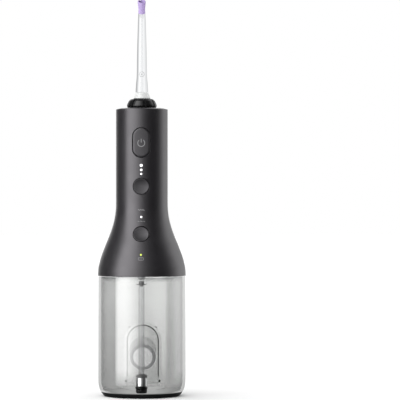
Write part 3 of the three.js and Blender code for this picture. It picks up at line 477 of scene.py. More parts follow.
clear("nozzle_bore", (0.985, 0.986, 0.987), (0.80, 0.805, 0.81), gloss=0.0, graze=0.05,
      edge_power=2.0, ripple=0.0, grain=0.0)
# painted shade: the nozzle's left edge is tinted much darker than its right edge
clear("nozzle_clear", (0.945, 0.95, 0.955), (0.06, 0.065, 0.07), right_edge=(0.40, 0.41, 0.42),
      gloss=0.035, graze=0.60, rough=0.06, edge_power=1.9, gloss_power=3.0, ripple=0.0,
      grain=0.0)
plastic("mark_grey", (0.42, 0.425, 0.43), rough=0.5, grain=4000, vary=0.05, edge=0)
plastic("print_grey", (0.22, 0.22, 0.225), rough=0.5, grain=4000, vary=0.05, edge=0)
tip_outside()
tip_inside()
board()

# ---------------------------------------------------------------------------
# points and curves, in millimetres
# ---------------------------------------------------------------------------


def circle_points(radius, count):
    turns = [2 * math.pi * k / count for k in range(count)]
    return [(radius * math.cos(turn), radius * math.sin(turn)) for turn in turns]


def quarter_round(count):
    """Steps round a quarter circle of radius 1, as (inset, rise)."""
    turns = [math.pi / 2 * (k / count) for k in range(count + 1)]
    return [(1 - math.cos(turn), math.sin(turn)) for turn in turns]


def fillet(points, steps, closed=False):
    """Round the corners of a polyline: a point's third value is its corner radius."""
    out = []
    count = len(points)
    for i, (x, y, *radius) in enumerate(points):
        corner = Vector((x, y))
        before = Vector(points[i - 1][:2]) - corner
        after = Vector(points[(i + 1) % count][:2]) - corner
        reach = min(before.length, after.length)
        if not radius or (not closed and i in (0, count - 1)) or reach < 1e-6:
            out.append((x, y))
            continue
        limits = before.length * 0.48, after.length * 0.48
        before.normalize()
        after.normalize()
        angle = math.acos(max(-1, min(1, before.dot(after))))
        if angle > math.pi - 0.02 or angle < 0.02:
            out.append((x, y))
            continue
        setback = min(radius[0] / math.tan(angle / 2), *limits)
        fitted = setback * math.tan(angle / 2)
        centre = corner + (before + after).normalized() * (fitted / math.sin(angle / 2))
        start, end = corner + before * setback - centre, corner + after * setback - centre
        start_turn = math.atan2(start.y, start.x)
        swing = math.atan2(end.y, end.x) - start_turn
        swing = (swing + math.pi) % (2 * math.pi) - math.pi
        for k in range(steps + 1):
            turn = start_turn + swing * k / steps
            out.append((centre.x + fitted * math.cos(turn), centre.y + fitted * math.sin(turn)))
    return out


def pchip(points):
    """Smooth curve through (place, value) points that doesn't overshoot them."""
    xs, ys = zip(*points)
    count = len(xs)
    slopes = [(ys[i + 1] - ys[i]) / (xs[i + 1] - xs[i]) for i in range(count - 1)]
    tangents = [slopes[0]] + [0.0] * (count - 2) + [slopes[-1]]
    for i in range(1, count - 1):
        if slopes[i - 1] * slopes[i] > 0:
            before, after = xs[i] - xs[i - 1], xs[i + 1] - xs[i]
            low, high = 2 * after + before, after + 2 * before
            tangents[i] = (low + high) / (low / slopes[i - 1] + high / slopes[i])

    def curve(x):
        if x <= xs[0]:
            return ys[0]
        if x >= xs[-1]:
            return ys[-1]
        i = max(j for j in range(count - 1) if xs[j] <= x)
        span = xs[i + 1] - xs[i]
        part = (x - xs[i]) / span
        square, cube = part ** 2, part ** 3
        return ((2 * cube - 3 * square + 1) * ys[i]
                + (cube - 2 * square + part) * span * tangents[i]
                + (-2 * cube + 3 * square) * ys[i + 1]
                + (cube - square) * span * tangents[i + 1])
    return curve


# Outlines are functions: given how far to grow, they return (across, along) points.


def stadium(half_width, half_height):
    def outline(grow):
        radius, centre = max(half_width + grow, 0.004), half_height - half_width
        steps, side = 22, 14
        turns = [math.pi * k / steps for k in range(steps + 1)]
        top = [(radius * math.cos(turn), centre + radius * math.sin(turn)) for turn in turns]
        left = [(-radius, centre - 2 * centre * k / side) for k in range(1, side)]
        bottom = [(-radius * math.cos(turn), -centre - radius * math.sin(turn)) for turn in turns]
        right = [(radius, -centre + 2 * centre * k / side) for k in range(1, side)]
        return top + left + bottom + right
    return outline


def circle(radius, count=72):
    return lambda grow: circle_points(max(radius + grow, 0.004), count)


def rounded_rect(x0, x1, y0, y1, corner, steps=10):
    def outline(grow):
        left, right, low, high = x0 - grow, x1 + grow, y0 - grow, y1 + grow
        if right - left < 0.01:
            left = right = (x0 + x1) / 2
        if high - low < 0.01:
            low = high = (y0 + y1) / 2
        radius = max(min(corner + grow, (right - left) / 2, (high - low) / 2), 0.002)
        corners = ((right - radius, high - radius, 0), (left + radius, high - radius, 90),
                   (left + radius, low + radius, 180), (right - radius, low + radius, 270))
        out = []
        for x, y, start in corners:
            for k in range(steps + 1):
                turn = rad(start + 90 * k / steps)
                out.append((x + radius * math.cos(turn), y + radius * math.sin(turn)))
        return out
    return outline


def arch(half_width, foot_z, spring_z):
    """Panel in (x, z) with a flat foot and a round top centred at spring_z."""
    def outline(grow):
        width, foot = half_width + grow, foot_z - grow
        steps, side = 28, 12
        rise = spring_z - foot
        points = [(-width + 2 * width * k / 16, foot) for k in range(17)]
        points += [(width, foot + rise * k / side) for k in range(1, side)]
        for k in range(steps + 1):
            turn = math.pi * k / steps
            points.append((width * math.cos(turn), spring_z + width * math.sin(turn)))
        return points + [(-width, spring_z - rise * k / side) for k in range(1, side)]
    return outline


# ---------------------------------------------------------------------------
# meshes, in millimetres
# ---------------------------------------------------------------------------


def link_mesh(name, mesh):
    obj = bpy.data.objects.new(name, mesh)
    scene.collection.objects.link(obj)
    return obj


def make(name, verts, faces):
    mesh = bpy.data.meshes.new(name)
    mesh.from_pydata([(x * MM, y * MM, z * MM) for x, y, z in verts], [], faces)
    bm = bmesh.new()
    bm.from_mesh(mesh)
    bmesh.ops.remove_doubles(bm, verts=bm.verts, dist=1e-7)
    bmesh.ops.dissolve_degenerate(bm, edges=bm.edges, dist=1e-8)
    bmesh.ops.recalc_face_normals(bm, faces=bm.faces)
    bm.to_mesh(mesh)
    bm.free()
    return link_mesh(name, mesh)


def lathe(name, profile, segments, centre_y=0.0, closed=False):
    """Turn a profile of (radius, z) about an upright axis."""
    verts, rows = [], []
    for radius, z in profile:
        points = [(0.0, 0.0)] if radius < 1e-6 else circle_points(radius, segments)
        rows.append(list(range(len(verts), len(verts) + len(points))))
        verts += [(x, centre_y + y, z) for x, y in points]
    faces = []
    pairs = list(zip(rows, rows[1:])) + ([(rows[-1], rows[0])] if closed else [])
    for low, high in pairs:
        if len(low) == 1 and len(high) == 1:
            continue
        for k in range(segments):
            j = (k + 1) % segments
            if len(low) == 1:
                faces.append((low[0], high[j], high[k]))
            elif len(high) == 1:
                faces.append((low[k], low[j], high[0]))
            else:
                faces.append((low[k], low[j], high[j], high[k]))
    return make(name, verts, faces)


def loft(name, rings, closed=False):
    """Skin through rings of points; capped at both ends unless closed on itself."""
    size, count = len(rings[0]), len(rings)
    verts = [tuple(point) for ring in rings for point in ring]
    faces = []
    for i in range(count if closed else count - 1):
        low, high = i * size, ((i + 1) % count) * size
        for k in range(size):
            j = (k + 1) % size
            faces.append((low + k, low + j, high + j, high + k))
    if not closed:
        faces.append(tuple(range(size))[::-1])
        faces.append(tuple(range((count - 1) * size, count * size)))
    return make(name, verts, faces)


def prism_y(name, outline, steps):
    """Loft an (x, z) outline through steps of (grow, y)."""
    return loft(name, [[(x, y, z) for x, z in outline(grow)] for grow, y in steps])


def box(name, x0, x1, y0, y1, z0, z1):
    verts = [(x, y, z) for z in (z0, z1) for y in (y0, y1) for x in (x0, x1)]
    faces = [(0, 2, 3, 1), (4, 5, 7, 6), (0, 1, 5, 4), (2, 6, 7, 3), (0, 4, 6, 2), (1, 3, 7, 5)]
    return make(name, verts, faces)


def rod(name, start, end, radius, segments):
    start, end = Vector(start), Vector(end)
    direction = (end - start).normalized()
    side = direction.orthogonal().normalized()
    other = direction.cross(side)
    points = circle_points(radius, segments)
    return loft(name, [[place + side * x + other * y for x, y in points]
                       for place in (start, end)])


def drop(obj):
    mesh = obj.data
    bpy.data.objects.remove(obj)
    if mesh.users == 0:
        bpy.data.meshes.remove(mesh)


def apply_modifiers(obj):
    bpy.context.view_layer.update()
    depsgraph = bpy.context.evaluated_depsgraph_get()
    mesh = bpy.data.meshes.new_from_object(obj.evaluated_get(depsgraph))
    obj.modifiers.clear()
    old = obj.data
    obj.data = mesh
    if old.users == 0:
        bpy.data.meshes.remove(old)
    return obj


def boolean(obj, tool, operation="DIFFERENCE"):
    modifier = obj.modifiers.new("boolean", "BOOLEAN")
    modifier.operation = operation
    modifier.solver = "EXACT"
    modifier.object = tool
    apply_modifiers(obj)
    drop(tool)


def bevel(obj, width, segments=3, angle=35):
    modifier = obj.modifiers.new("bevel", "BEVEL")
    modifier.width = width * MM
    modifier.segments = segments
    modifier.limit_method = "ANGLE"
    modifier.angle_limit = rad(angle)
    modifier.miter_outer = "MITER_ARC"
    return apply_modifiers(obj)


def merge(name, objects):
    """Closed solids that don't touch, as one object."""
    bm = bmesh.new()
    for obj in objects:
        bm.from_mesh(obj.data)
        drop(obj)
    mesh = bpy.data.meshes.new(name)
    bm.to_mesh(mesh)
    bm.free()
    return link_mesh(name, mesh)


def piece(obj, body, slot, replaces=None, material=None, angle=32, second=None):
    """Clean, shade and register a finished piece. Second is a (material, test) pair: faces whose
    centre in mm and normal pass the test get that material."""
    bm = bmesh.new()
    bm.from_mesh(obj.data)
    bmesh.ops.remove_doubles(bm, verts=bm.verts, dist=2e-8)
    bmesh.ops.recalc_face_normals(bm, faces=bm.faces)
    bm.to_mesh(obj.data)
    bm.free()
    obj.data.materials.clear()
    obj.data.materials.append(MATERIALS[material or slot])
    if second:
        name, test = second
        obj.data.materials.append(MATERIALS[name])
        for face in obj.data.polygons:
            face.material_index = 1 if test(face.center / MM, face.normal) else 0
    obj.data.shade_smooth()
    obj.data.set_sharp_from_angle(angle=rad(angle))
    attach(obj, body)
    if replaces:
        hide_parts(replaces)
    return obj


# ---------------------------------------------------------------------------
# places on the handle
# ---------------------------------------------------------------------------

# the handle's outside: z, radius
handle_r = pchip([
    (89.35, 32.69), (90.5, 32.68), (95.0, 32.37), (99.5, 31.41), (103.9, 30.17),
    (108.4, 28.51), (112.9, 26.78), (117.3, 24.92), (121.8, 23.15), (126.3, 21.69),
    (130.7, 20.55), (135.2, 19.79), (139.7, 19.36), (143.5, BODY_R), (214.0, BODY_R),
])


class Feature:
    """A place on the handle's outside, with directions across, along and out of it. Tilt leans
    the outward direction upwards, in degrees."""

    def __init__(self, side, z, tilt=0.0):
        lean = rad(tilt)
        self.place = Vector((0, side * handle_r(z), z))
        self.across = Vector((-side, 0, 0))
        self.along = Vector((0, -side * math.sin(lean), math.cos(lean))).normalized()
        self.out = Vector((0, side * math.cos(lean), math.sin(lean))).normalized()

    def at(self, x, y, height):
        return self.place + self.across * x + self.along * y + self.out * height

    def skin(self, x, y):
        """Height of the handle's surface, found by halving."""
        low, high = -9.0, 4.0
        for _ in range(34):
            middle = (low + high) / 2
            point = self.at(x, y, middle)
            if math.hypot(point.x, point.y) > handle_r(point.z):
                high = middle
            else:
                low = middle
        return (low + high) / 2

    def loft(self, name, outline, steps):
        """Steps are (grow, mode, height): above the handle's skin, or flat across the place."""
        return loft(name, [[self.at(x, y, (self.skin(x, y) if mode == "skin" else 0) + height)
                            for x, y in outline(grow)] for grow, mode, height in steps])


POWER = Feature(FRONT, 187.9)
INTENSITY = Feature(FRONT, 155.7)
MODE = Feature(FRONT, 120.6, tilt=19.75)
PORT = Feature(BACK, 109.0, tilt=21.0)
RELEASE = Feature(BACK, 200.5)

POWER_W, INTENSITY_R, MODE_R, RELEASE_R = 6.72, 6.2, 6.1, 4.75
POWER_OUTLINE = stadium(POWER_W, 11.22)
INTENSITY_OUTLINE = circle(INTENSITY_R)
MODE_OUTLINE = circle(MODE_R)
RELEASE_OUTLINE = circle(RELEASE_R)
PORT_OUTLINE = rounded_rect(-6.7, 6.7, -5.2, 4.3, 3.0)

# light windows: z, lens radius, share of the radius that is fully bright
INTENSITY_LENSES = [(171.1, 1.10, 0.86), (167.8, 0.90, 0.80), (164.8, 0.78, 0.78)]
MODE_LENS = (133.1, 0.80, 0.80)
BATTERY_LENS = (105.4, 0.70)
LENS_GAP = 0.04

# rounded mouths of openings: grow, mode, height
LIPS = [(0.20, "flat", 4.0), (0.20, "skin", 0.9), (0.19, "skin", 0.03), (0.12, "skin", -0.03),
        (0.06, "skin", -0.09), (0.02, "skin", -0.17), (0.0, "skin", -0.28)]
SMALL_LIPS = [(0.10, "flat", 2.0), (0.10, "skin", 0.6), (0.09, "skin", 0.02),
              (0.04, "skin", -0.03), (0.0, "skin", -0.10)]

# ---------------------------------------------------------------------------
# the casing
# ---------------------------------------------------------------------------


def casing_profile():
    foot_z, bend_z, wall = 89.7, 143.0, 2.0
    heights = [foot_z + k * (bend_z - foot_z) / 66 for k in range(67)]
    heights += [150, 160, 170, 180, 190, 200, 206, 210]
    top = fillet([(BODY_R, 211.6), (BODY_R, 212.95, 0.35), (16.2, 213.75, 4.0), (12.5, 214.0, 4.0),
                  (7.4, 214.0, 0.3), (7.4, 211.5)], steps=8)
    inner = [(17.2, 211.5), (17.2, bend_z)]
    inner += [(handle_r(z) - wall, z) for z in (138, 133, 128, 123, 118, 113, 108, 103, 98, 94)]
    inner += [(30.69, 90.5)]
    foot = fillet([(30.69, foot_z), (30.69, 89.35, 0.12), (32.69, 89.35, 0.28), (32.69, 89.8)],
                  steps=4)[1:-1]
    return [(handle_r(z), z) for z in heights] + top + inner + foot


def casing_cutters():
    """Openings for the buttons, the charging port and the light windows."""
    tools = [feature.loft("cutter", outline, LIPS + [(0, "flat", -depth)])
             for feature, outline, depth in (
                 (POWER, POWER_OUTLINE, 6.0), (INTENSITY, INTENSITY_OUTLINE, 6.0),
                 (MODE, MODE_OUTLINE, 7.0), (RELEASE, RELEASE_OUTLINE, 6.0))]
    recess = PORT.loft("recess", PORT_OUTLINE, LIPS + [
        (0, "skin", -1.2), (-0.15, "flat", -2.45), (-0.3, "flat", -2.6)])
    socket = PORT.loft("socket", rounded_rect(-3.7, 3.7, -2.1, 2.1, 0.5),
                       [(0, "flat", -2.4), (0, "flat", -7.0)])
    boolean(recess, socket, "UNION")
    tools.append(recess)
    windows = [(z, radius, 5.0) for z, radius, _ in INTENSITY_LENSES + [MODE_LENS]]
    for z, radius, depth in windows + [(*BATTERY_LENS, 6.0)]:
        tools.append(Feature(FRONT, z).loft("window", circle(radius + LENS_GAP, 40),
                                            SMALL_LIPS + [(0, "flat", -depth)]))
    return merge("tools", tools)


def build_casing():
    body = lathe("casing", casing_profile(), segments=200, closed=True)
    # thick pad round the charging port
    pad = PORT.loft("pad", rounded_rect(-8, 8, -6.4, 5.5, 3.0),
                    [(0, "skin", -0.6), (0, "flat", -5.0)])
    boolean(body, pad, "UNION")
    boolean(body, casing_cutters())
    piece(body, "handle", "handle_black", "handle_housing", angle=28)


build_casing()

# ---------------------------------------------------------------------------
# buttons, lights and printed marks
# ---------------------------------------------------------------------------


def button(name, feature, outline, gap, recess, flat, edge, edge_drop, width, flange, rings=14,
           dish=0.0):
    """A cap with rolled edges over a hidden flange; returns the cap and its face's height.
    flat: how far the face follows the handle across (1 is fully). edge, edge_drop: width and
    drop of the rolled edge. width: the outline's half width. dish: depth of the hollow.
    flange: back and front, as radii about the handle's axis or, below zero, as heights."""
    def face(x, y, inset=math.inf):
        middle = feature.skin(0, y)
        height = middle - recess - flat * (middle - feature.skin(x, y))
        if dish:
            height -= dish * (1 - min(1.0, (x * x + y * y) / (width * width)))
        if inset < edge:
            part = 1 - inset / edge
            height -= edge_drop * (1 - math.sqrt(max(0.0, 1 - part * part)))
        return height

    def under(x, level):
        return (math.sqrt(level * level - x * x) - BODY_R) if level > 0 else level

    back, front = flange
    brim = 0.72
    rows = []
    for grow, level, lift in ((-0.8 * width, back, 0), (-0.4 * width, back, 0), (brim, back, 0),
                              (brim, front, 0), (-gap, front, 0.02)):
        rows.append([feature.at(x, y, under(x, level) + lift) for x, y in outline(grow)])
    insets = [edge * inset for inset, _ in quarter_round(9)]
    rest = width - gap - edge
    insets += [edge + rest * (k / rings) for k in range(1, rings + 1)]
    for inset in insets:
        rows.append([feature.at(x, y, face(x, y, inset)) for x, y in outline(-gap - inset)])
    return loft(name, rows), face


def ribbon(feature, points, width, face, lift, depth, closed=False):
    """A thin line laid on a face, lift above it and depth below."""
    count = len(points)
    rings = []
    for i, (x, y) in enumerate(points):
        before = points[i - 1] if (i or closed) else points[i]
        after = points[(i + 1) % count] if (i < count - 1 or closed) else points[i]
        heading = Vector((after[0] - before[0], after[1] - before[1])).normalized()
        side = Vector((-heading.y, heading.x)) * width / 2
        left, right = (x + side.x, y + side.y), (x - side.x, y - side.y)
        left_z, right_z = face(*left), face(*right)
        rings.append([feature.at(*left, left_z - depth), feature.at(*left, left_z + lift),
                      feature.at(*right, right_z + lift), feature.at(*right, right_z - depth)])
    return loft("ribbon", rings, closed=closed)


def build_power_button():
    cap, face = button("power_button_cap", POWER, POWER_OUTLINE, gap=0.42, recess=0.12, flat=0.42,
                       edge=1.5, edge_drop=0.62, width=POWER_W, flange=(16.2, 16.85))
    piece(cap, "power_button", "button_black", "power_button")
    radius, centre = 2.58, -0.30
    ring = [(radius * math.sin(rad(angle)), radius * math.cos(rad(angle)) + centre)
            for angle in range(34, 327, 6)]
    bar = [(0, 0.05 + 0.3 * k) for k in range(10)]
    lines = [ribbon(POWER, line, 0.52, face, lift=0.04, depth=0.12) for line in (ring, bar)]
    piece(merge("power_mark", lines), "power_button", "light_white", material="print_grey")


def build_dished_buttons():
    for name, feature, outline, width, flange, dish in (
            ("intensity_button", INTENSITY, INTENSITY_OUTLINE, INTENSITY_R, (16.2, 16.85), 1.45),
            ("mode_button", MODE, MODE_OUTLINE, MODE_R, (-4.4, -3.9), 1.35)):
        cap, _ = button(name + "_cap", feature, outline, gap=0.42, recess=0.10, flat=1.0,
                        edge=0.45, edge_drop=0.3, width=width, flange=flange, dish=dish)
        piece(cap, name, "button_black", name)


def lens(z, radius):
    """Light window: a rolled rim, then a face that rises to the handle's skin."""
    feature = Feature(FRONT, z)
    rim, level = 0.25, -0.05
    steps = [(0, "flat", feature.skin(0, 0) - 3.0)]
    steps += [(-rim * inset, "skin", -0.30 + 0.25 * rise) for inset, rise in quarter_round(5)]
    steps += [(-rim - (radius - rim) * k / 5, "skin", level - level * (k / 5))
              for k in range(1, 6)]
    return feature.loft("lens", circle(radius, 40), steps)


def dim_rims(lenses):
    """The light falls off towards the rim of each window."""
    def test(centre, _normal):
        return not any(centre.y < -18 and math.hypot(centre.x, centre.z - z) < bright * radius
                       for z, radius, bright in lenses)
    return ("light_rim", test)


def build_lights():
    guide = [lens(z, radius) for z, radius, _ in INTENSITY_LENSES]
    guide.append(bevel(box("bar", -1.5, 1.5, -16.0, -13.2, 163.4, 172.6), 0.3))
    piece(merge("intensity_lights", guide), "handle", "light_white", "intensity_light_guide",
          second=dim_rims(INTENSITY_LENSES))
    mode = piece(lens(*MODE_LENS[:2]), "handle", "light_white", "mode_light_guide",
                 second=dim_rims([MODE_LENS]))
    mode.name = "mode_light"
    battery = piece(lens(*BATTERY_LENS), "handle", "light_green", "battery_light_guide")
    battery.name = "battery_light"


def build_casing_marks():
    """Small printed marks round the lights: a pill with three bars, and wavy lines."""
    def line(z, points, width, closed=False):
        feature = Feature(FRONT, z)
        return ribbon(feature, points, width, feature.skin, lift=0.03, depth=0.1, closed=closed)

    def wave(start, step, height, count):
        return [(start + step * k, height * math.sin(k * 0.62)) for k in range(count)]

    pill_z = 102.5
    marks = [line(pill_z, rounded_rect(-1.95, 1.95, -1.0, 1.0, 0.75, 6)(0), 0.26, closed=True)]
    marks += [line(pill_z, [(x, -0.4), (x, 0.0), (x, 0.4)], 0.16) for x in (-0.75, 0.0, 0.75)]
    marks.append(line(138.3, wave(start=-2.4, step=0.16, height=0.42, count=31), 0.30))
    marks += [line(129.9, wave(start=-0.75 + 2.0 * k, step=0.15, height=0.3, count=11), 0.26)
              for k in (-1, 0, 1)]
    piece(merge("casing_marks", marks), "handle", "light_white", material="print_grey")


def build_release_button():
    """Raised dome on the back with three ridges."""
    cap, face = button("release_button_cap", RELEASE, RELEASE_OUTLINE, gap=0.35, recess=-0.40,
                       flat=0.45, edge=0.5, edge_drop=0.45, width=RELEASE_R,
                       flange=(-6.2, -3.0), rings=10)
    for y in (-1.6, 0.0, 1.6):
        ridge = [(-2.3 + 0.23 * k, y) for k in range(21)]
        boolean(cap, ribbon(RELEASE, ridge, 0.42, face, lift=0.16, depth=0.2), "UNION")
    piece(cap, "release_button", "button_black", "release_button")


def build_release_spring():
    """Return spring, built at rest; the real one shortens towards the button as that is pressed."""
    turns, coil_r, wire_r, axis_z = 4.5, 1.75, 0.27, 199.6
    start_y, end_y, steps = 8.3, 14.5, 170
    rings = []
    for i in range(steps + 1):
        part = i / steps
        turn = 2 * math.pi * turns * part
        # the end coils lie close, the middle ones are open
        spread = part - 0.055 * math.sin(2 * math.pi * part)
        y = start_y + (end_y - start_y) * spread
        centre = Vector((coil_r * math.cos(turn), y, axis_z + coil_r * math.sin(turn)))
        out = Vector((math.cos(turn), 0, math.sin(turn)))
        rings.append([centre + out * across + Vector((0, 1, 0)) * along
                      for across, along in circle_points(wire_r, 12)])
    spring = piece(loft("release_spring_coil", rings), "release_button", "spring_steel",
                   "release_spring", angle=50)
    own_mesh(spring)


def build_port_cover():
    """Rubber lid with a finger notch at the top, a tether at the foot and a plug behind."""
    level, edge = -0.05, 0.45
    steps = [(-0.15, "flat", -2.3), (0, "flat", -2.15)]
    steps += [(-edge * inset, "skin", -0.42 + 0.37 * rise) for inset, rise in quarter_round(6)]
    steps += [(-edge - 3.5 * k / 8, "skin", level) for k in range(1, 9)]
    lid = PORT.loft("port_cover_lid", rounded_rect(-6.35, 6.35, -4.0, 4.0, 2.9), steps)
    notch = PORT.loft("notch", lambda _: [(1.9 * x, 4.2 + 1.1 * y) for x, y in circle_points(1, 40)],
                      [(0, "skin", 0.6), (0, "skin", -0.75)])
    boolean(lid, notch)
    tether = PORT.loft("tether", rounded_rect(-2.3, 2.3, -5.05, -3.7, 0.5),
                       [(0, "flat", -1.75), (0, "flat", -1.05)])
    boolean(lid, bevel(tether, 0.15), "UNION")
    plug = PORT.loft("plug", rounded_rect(-2.3, 2.3, -0.5, 0.5, 0.25),
                     [(-0.15, "flat", -3.4), (0, "flat", -3.2), (0, "flat", -2.0)])
    boolean(lid, plug, "UNION")
    for x in (-2.6, -1.3, 0, 1.3, 2.6):
        rib = ribbon(PORT, [(x, -1.2 + 0.3 * k) for k in range(9)], 0.34,
                     lambda x, y: PORT.skin(x, y) + level, lift=0.10, depth=0.2)
        boolean(lid, rib, "UNION")
    piece(lid, "port_cover", "cover_rubber", "port_cover")


build_power_button()
build_dished_buttons()
build_lights()
build_casing_marks()
build_release_button()
build_release_spring()
build_port_cover()

# ---------------------------------------------------------------------------
# tank, foot pad and fill door
# ---------------------------------------------------------------------------

TANK_TOP = 89.05
TANK_BORE_R = 30.4
ARCH_Z = 39.0                       # centre of the round top of the door and its pocket
DOOR_W = 11.9                       # half width of the door
DOOR_FOOT = 7.4
HINGE_Y, HINGE_Z = 27.8, 8.6

# the tank's outside: z, radius
tank_r = pchip([(3.35, 30.5), (5.6, 31.5), (10.0, 32.35), (14.5, 32.56), (22.0, 32.66),
                (50.0, 32.62), (TANK_TOP, 32.42)])


def hinge_rod(half_length, radius, segments):
    return rod("hinge", (-half_length, HINGE_Y, HINGE_Z), (half_length, HINGE_Y, HINGE_Z),
               radius, segments)


def tank_outside():
    profile = fillet([(0, 1.0), (26.3, 1.0, 0.5), (27.1, 3.3, 0.4), (30.4, 3.35)], steps=4)
    heights = [3.5 + k * 0.35 for k in range(60)] + [27, 32, 38, 45, 52, 60, 68, 76, 83, 87]
    profile += [(tank_r(z), z) for z in heights]
    profile += fillet([(32.42, 88.0), (32.42, TANK_TOP, 0.35), (TANK_BORE_R, TANK_TOP, 0.35),
                       (TANK_BORE_R, 88.0)], steps=5)[1:-1]
    return lathe("tank", profile + [(0, TANK_TOP)], segments=192)


def tank_inside():
    """The tank's hollow, flattened at the back behind the door."""
    profile = [(0, 2.1), (24.5, 2.1)]
    profile += fillet([(24.6, 2.1), (28.4, 3.8, 3.0), (30.1, 8.6, 5.0), (TANK_BORE_R, 15.0, 6.0),
                       (TANK_BORE_R, 20)], steps=8)[1:]
    profile += [(TANK_BORE_R, z) for z in (30, 50, 70, 95)] + [(0, 95)]
    hollow = lathe("tank_hollow", profile, segments=192)
    boolean(hollow, prism_y("back", arch(14.2, 1.5, ARCH_Z), [(0, 26.6), (0, 40)]))
    boolean(hollow, box("back_foot", -15, 15, 23.7, 40, 1.5, 14.0))
    return bevel(hollow, 0.5, 3, angle=50)


def build_tank():
    tank = tank_outside()
    boolean(tank, tank_inside())
    pocket_w, pocket_foot = 12.2, 3.6
    boolean(tank, prism_y("pocket", arch(pocket_w, pocket_foot, ARCH_Z), [
        (-0.85, 28.6), (-0.56, 28.65), (-0.28, 28.78), (-0.08, 28.96), (0, 29.25), (0, 40)]))
    boolean(tank, box("hinge_pocket", -pocket_w, pocket_w, 25.7, 40, pocket_foot, 12.0))
    boolean(tank, rod("filling_hole", (0, 20, PLUG_Z), (0, 40, PLUG_Z), 10.15, 72))
    boolean(tank, hinge_rod(13.4, 1.05, 32))

    def pocket_edge(centre, normal):
        return (centre.y > 28.5 and 12.2 < centre.z < 52 and abs(centre.x) < 12.4
                and abs(normal.y) < 0.99 and math.hypot(centre.x, centre.y) < 31.9)
    piece(tank, "tank", "tank_clear", "tank_shell", angle=30, second=("tank_edge", pocket_edge))


def build_foot_pad():
    """Rubber pad with a recessed middle and one groove round it."""
    profile = fillet([
        (0, 0.25), (9, 0.25), (9.6, 0.0, 0.3), (21.5, 0.0, 0.2), (22.0, 0.3, 0.2),
        (24.0, 0.3, 0.2), (24.5, 0.0, 0.2), (28.1, 0.0, 0.5), (28.95, 1.1, 1.0),
        (30.5, 3.05, 0.3), (27.5, 3.05, 0.2), (26.75, 0.75, 0.4), (0, 0.75)], steps=4)
    pad = lathe("foot_pad_moulded", profile, segments=160)
    piece(pad, "tank", "base_rubber", "foot_pad")


def door_panel():
    """Arched panel whose outer face follows the tank."""
    def outer_y(x, z):
        return math.sqrt(max(0, (min(tank_r(z), 32.6) - 0.15) ** 2 - x * x))

    outline = arch(DOOR_W, DOOR_FOOT, ARCH_Z)
    edge = 0.5
    rings = [[(x, y, z) for x, z in outline(grow)]
             for grow, y in ((-0.5, 29.05), (-0.3, 29.1), (-0.12, 29.22), (0, 29.45))]
    for inset, rise in quarter_round(5):
        rings.append([(x, max(outer_y(x, z) - edge + edge * rise, 29.6), z)
                      for x, z in outline(-edge * inset)])
    # the last ring is a thin upright slit, filled across
    for k in range(1, 12):
        points = [(x, min(max(z, DOOR_FOOT), 51)) for x, z in outline(-edge - 11.0 * k / 12)]
        rings.append([(x, outer_y(x, z), z) for x, z in points])
    return loft("fill_door_panel", rings)


def door_hinge():
    knuckle = hinge_rod(DOOR_W, 1.7, 40)
    boolean(knuckle, hinge_rod(13.1, 0.8, 28), "UNION")
    boolean(knuckle, box("web", -DOOR_W, DOOR_W, HINGE_Y, 29.6, HINGE_Z, 10.3), "UNION")
    return knuckle


GASKET_Z = 29.35        # middle of the gasket and of its seat in the door


def gasket_outline(half_width, half_height):
    flat = stadium(half_width, half_height)
    return lambda grow: [(x, z + GASKET_Z) for x, z in flat(grow)]


def build_door():
    door = door_panel()
    boolean(door, door_hinge(), "UNION")
    boolean(door, bevel(box("finger_lip", -5, 5, 31.0, 32.65, 46.2, 47.6), 0.35), "UNION")
    boolean(door, prism_y("seat", gasket_outline(10.3, 12.95), [(0, 28.4), (0, 30.2)]))
    for x in (-7.7, 7.7):
        boolean(door, box("slot", x - 0.45, x + 0.45, 29.0, 34, 9.6, 13.7))

    def rim(centre, normal):
        x, y, z = abs(centre.x), centre.y, centre.z
        panel = y < 30.2 and z > 12.5 and abs(normal.y) < 0.985 and (x > 11.0 or z > 46.5)
        return panel or (x > 11.92 and z < 10)
    piece(door, "fill_door", "tank_clear", "fill_door", material="door_clear", angle=30,
          second=("tank_edge", rim))


def build_door_seal():
    """Flat gasket with the hollow filling plug standing inwards from it."""
    pad = prism_y("fill_door_gasket", gasket_outline(10.0, 12.65),
                  [(-0.3, 28.75), (-0.08, 28.82), (0, 29.0), (0, 29.75), (-0.15, 29.9)])
    # radius, y, corner
    profile = fillet([(7.3, 28.9), (7.3, 26.4, 0.5), (9.75, 26.4, 0.9), (9.75, 28.9)], steps=6)
    plug = loft("plug", [[(x, y, PLUG_Z + z) for x, z in circle_points(radius, 96)]
                         for radius, y in profile], closed=True)
    boolean(pad, plug, "UNION")
    piece(pad, "fill_door", "seal_grey", "fill_door_seal")


build_tank()
build_foot_pad()
build_door()
build_door_seal()

# ---------------------------------------------------------------------------
# floor of the handle, its seal, and the suction line
# profiles are radius, z and, where a corner is rounded, its radius
# ---------------------------------------------------------------------------


def build_bulkhead():
    profile = fillet([
        (0, 89.6), (26.8, 89.6, 0.6), (26.8, 85.3, 0.4), (29.9, 85.3, 0.4), (29.9, 86.0, 0.15),
        (28.5, 86.0, 0.1), (28.5, 88.75, 0.1), (29.9, 88.85, 0.2), (30.3, 89.4), (30.3, 90.1),
        (29.2, 90.1), (29.2, 91.5), (30.3, 91.5), (30.3, 92.0, 0.3), (0, 92.0)], steps=4)
    floor = lathe("handle_floor", profile, segments=160)
    boolean(floor, rod("hole", (0, HOSE_Y, 80), (0, HOSE_Y, 95), 3.3, 48))
    piece(floor, "handle", "collar_grey", "handle_bulkhead")


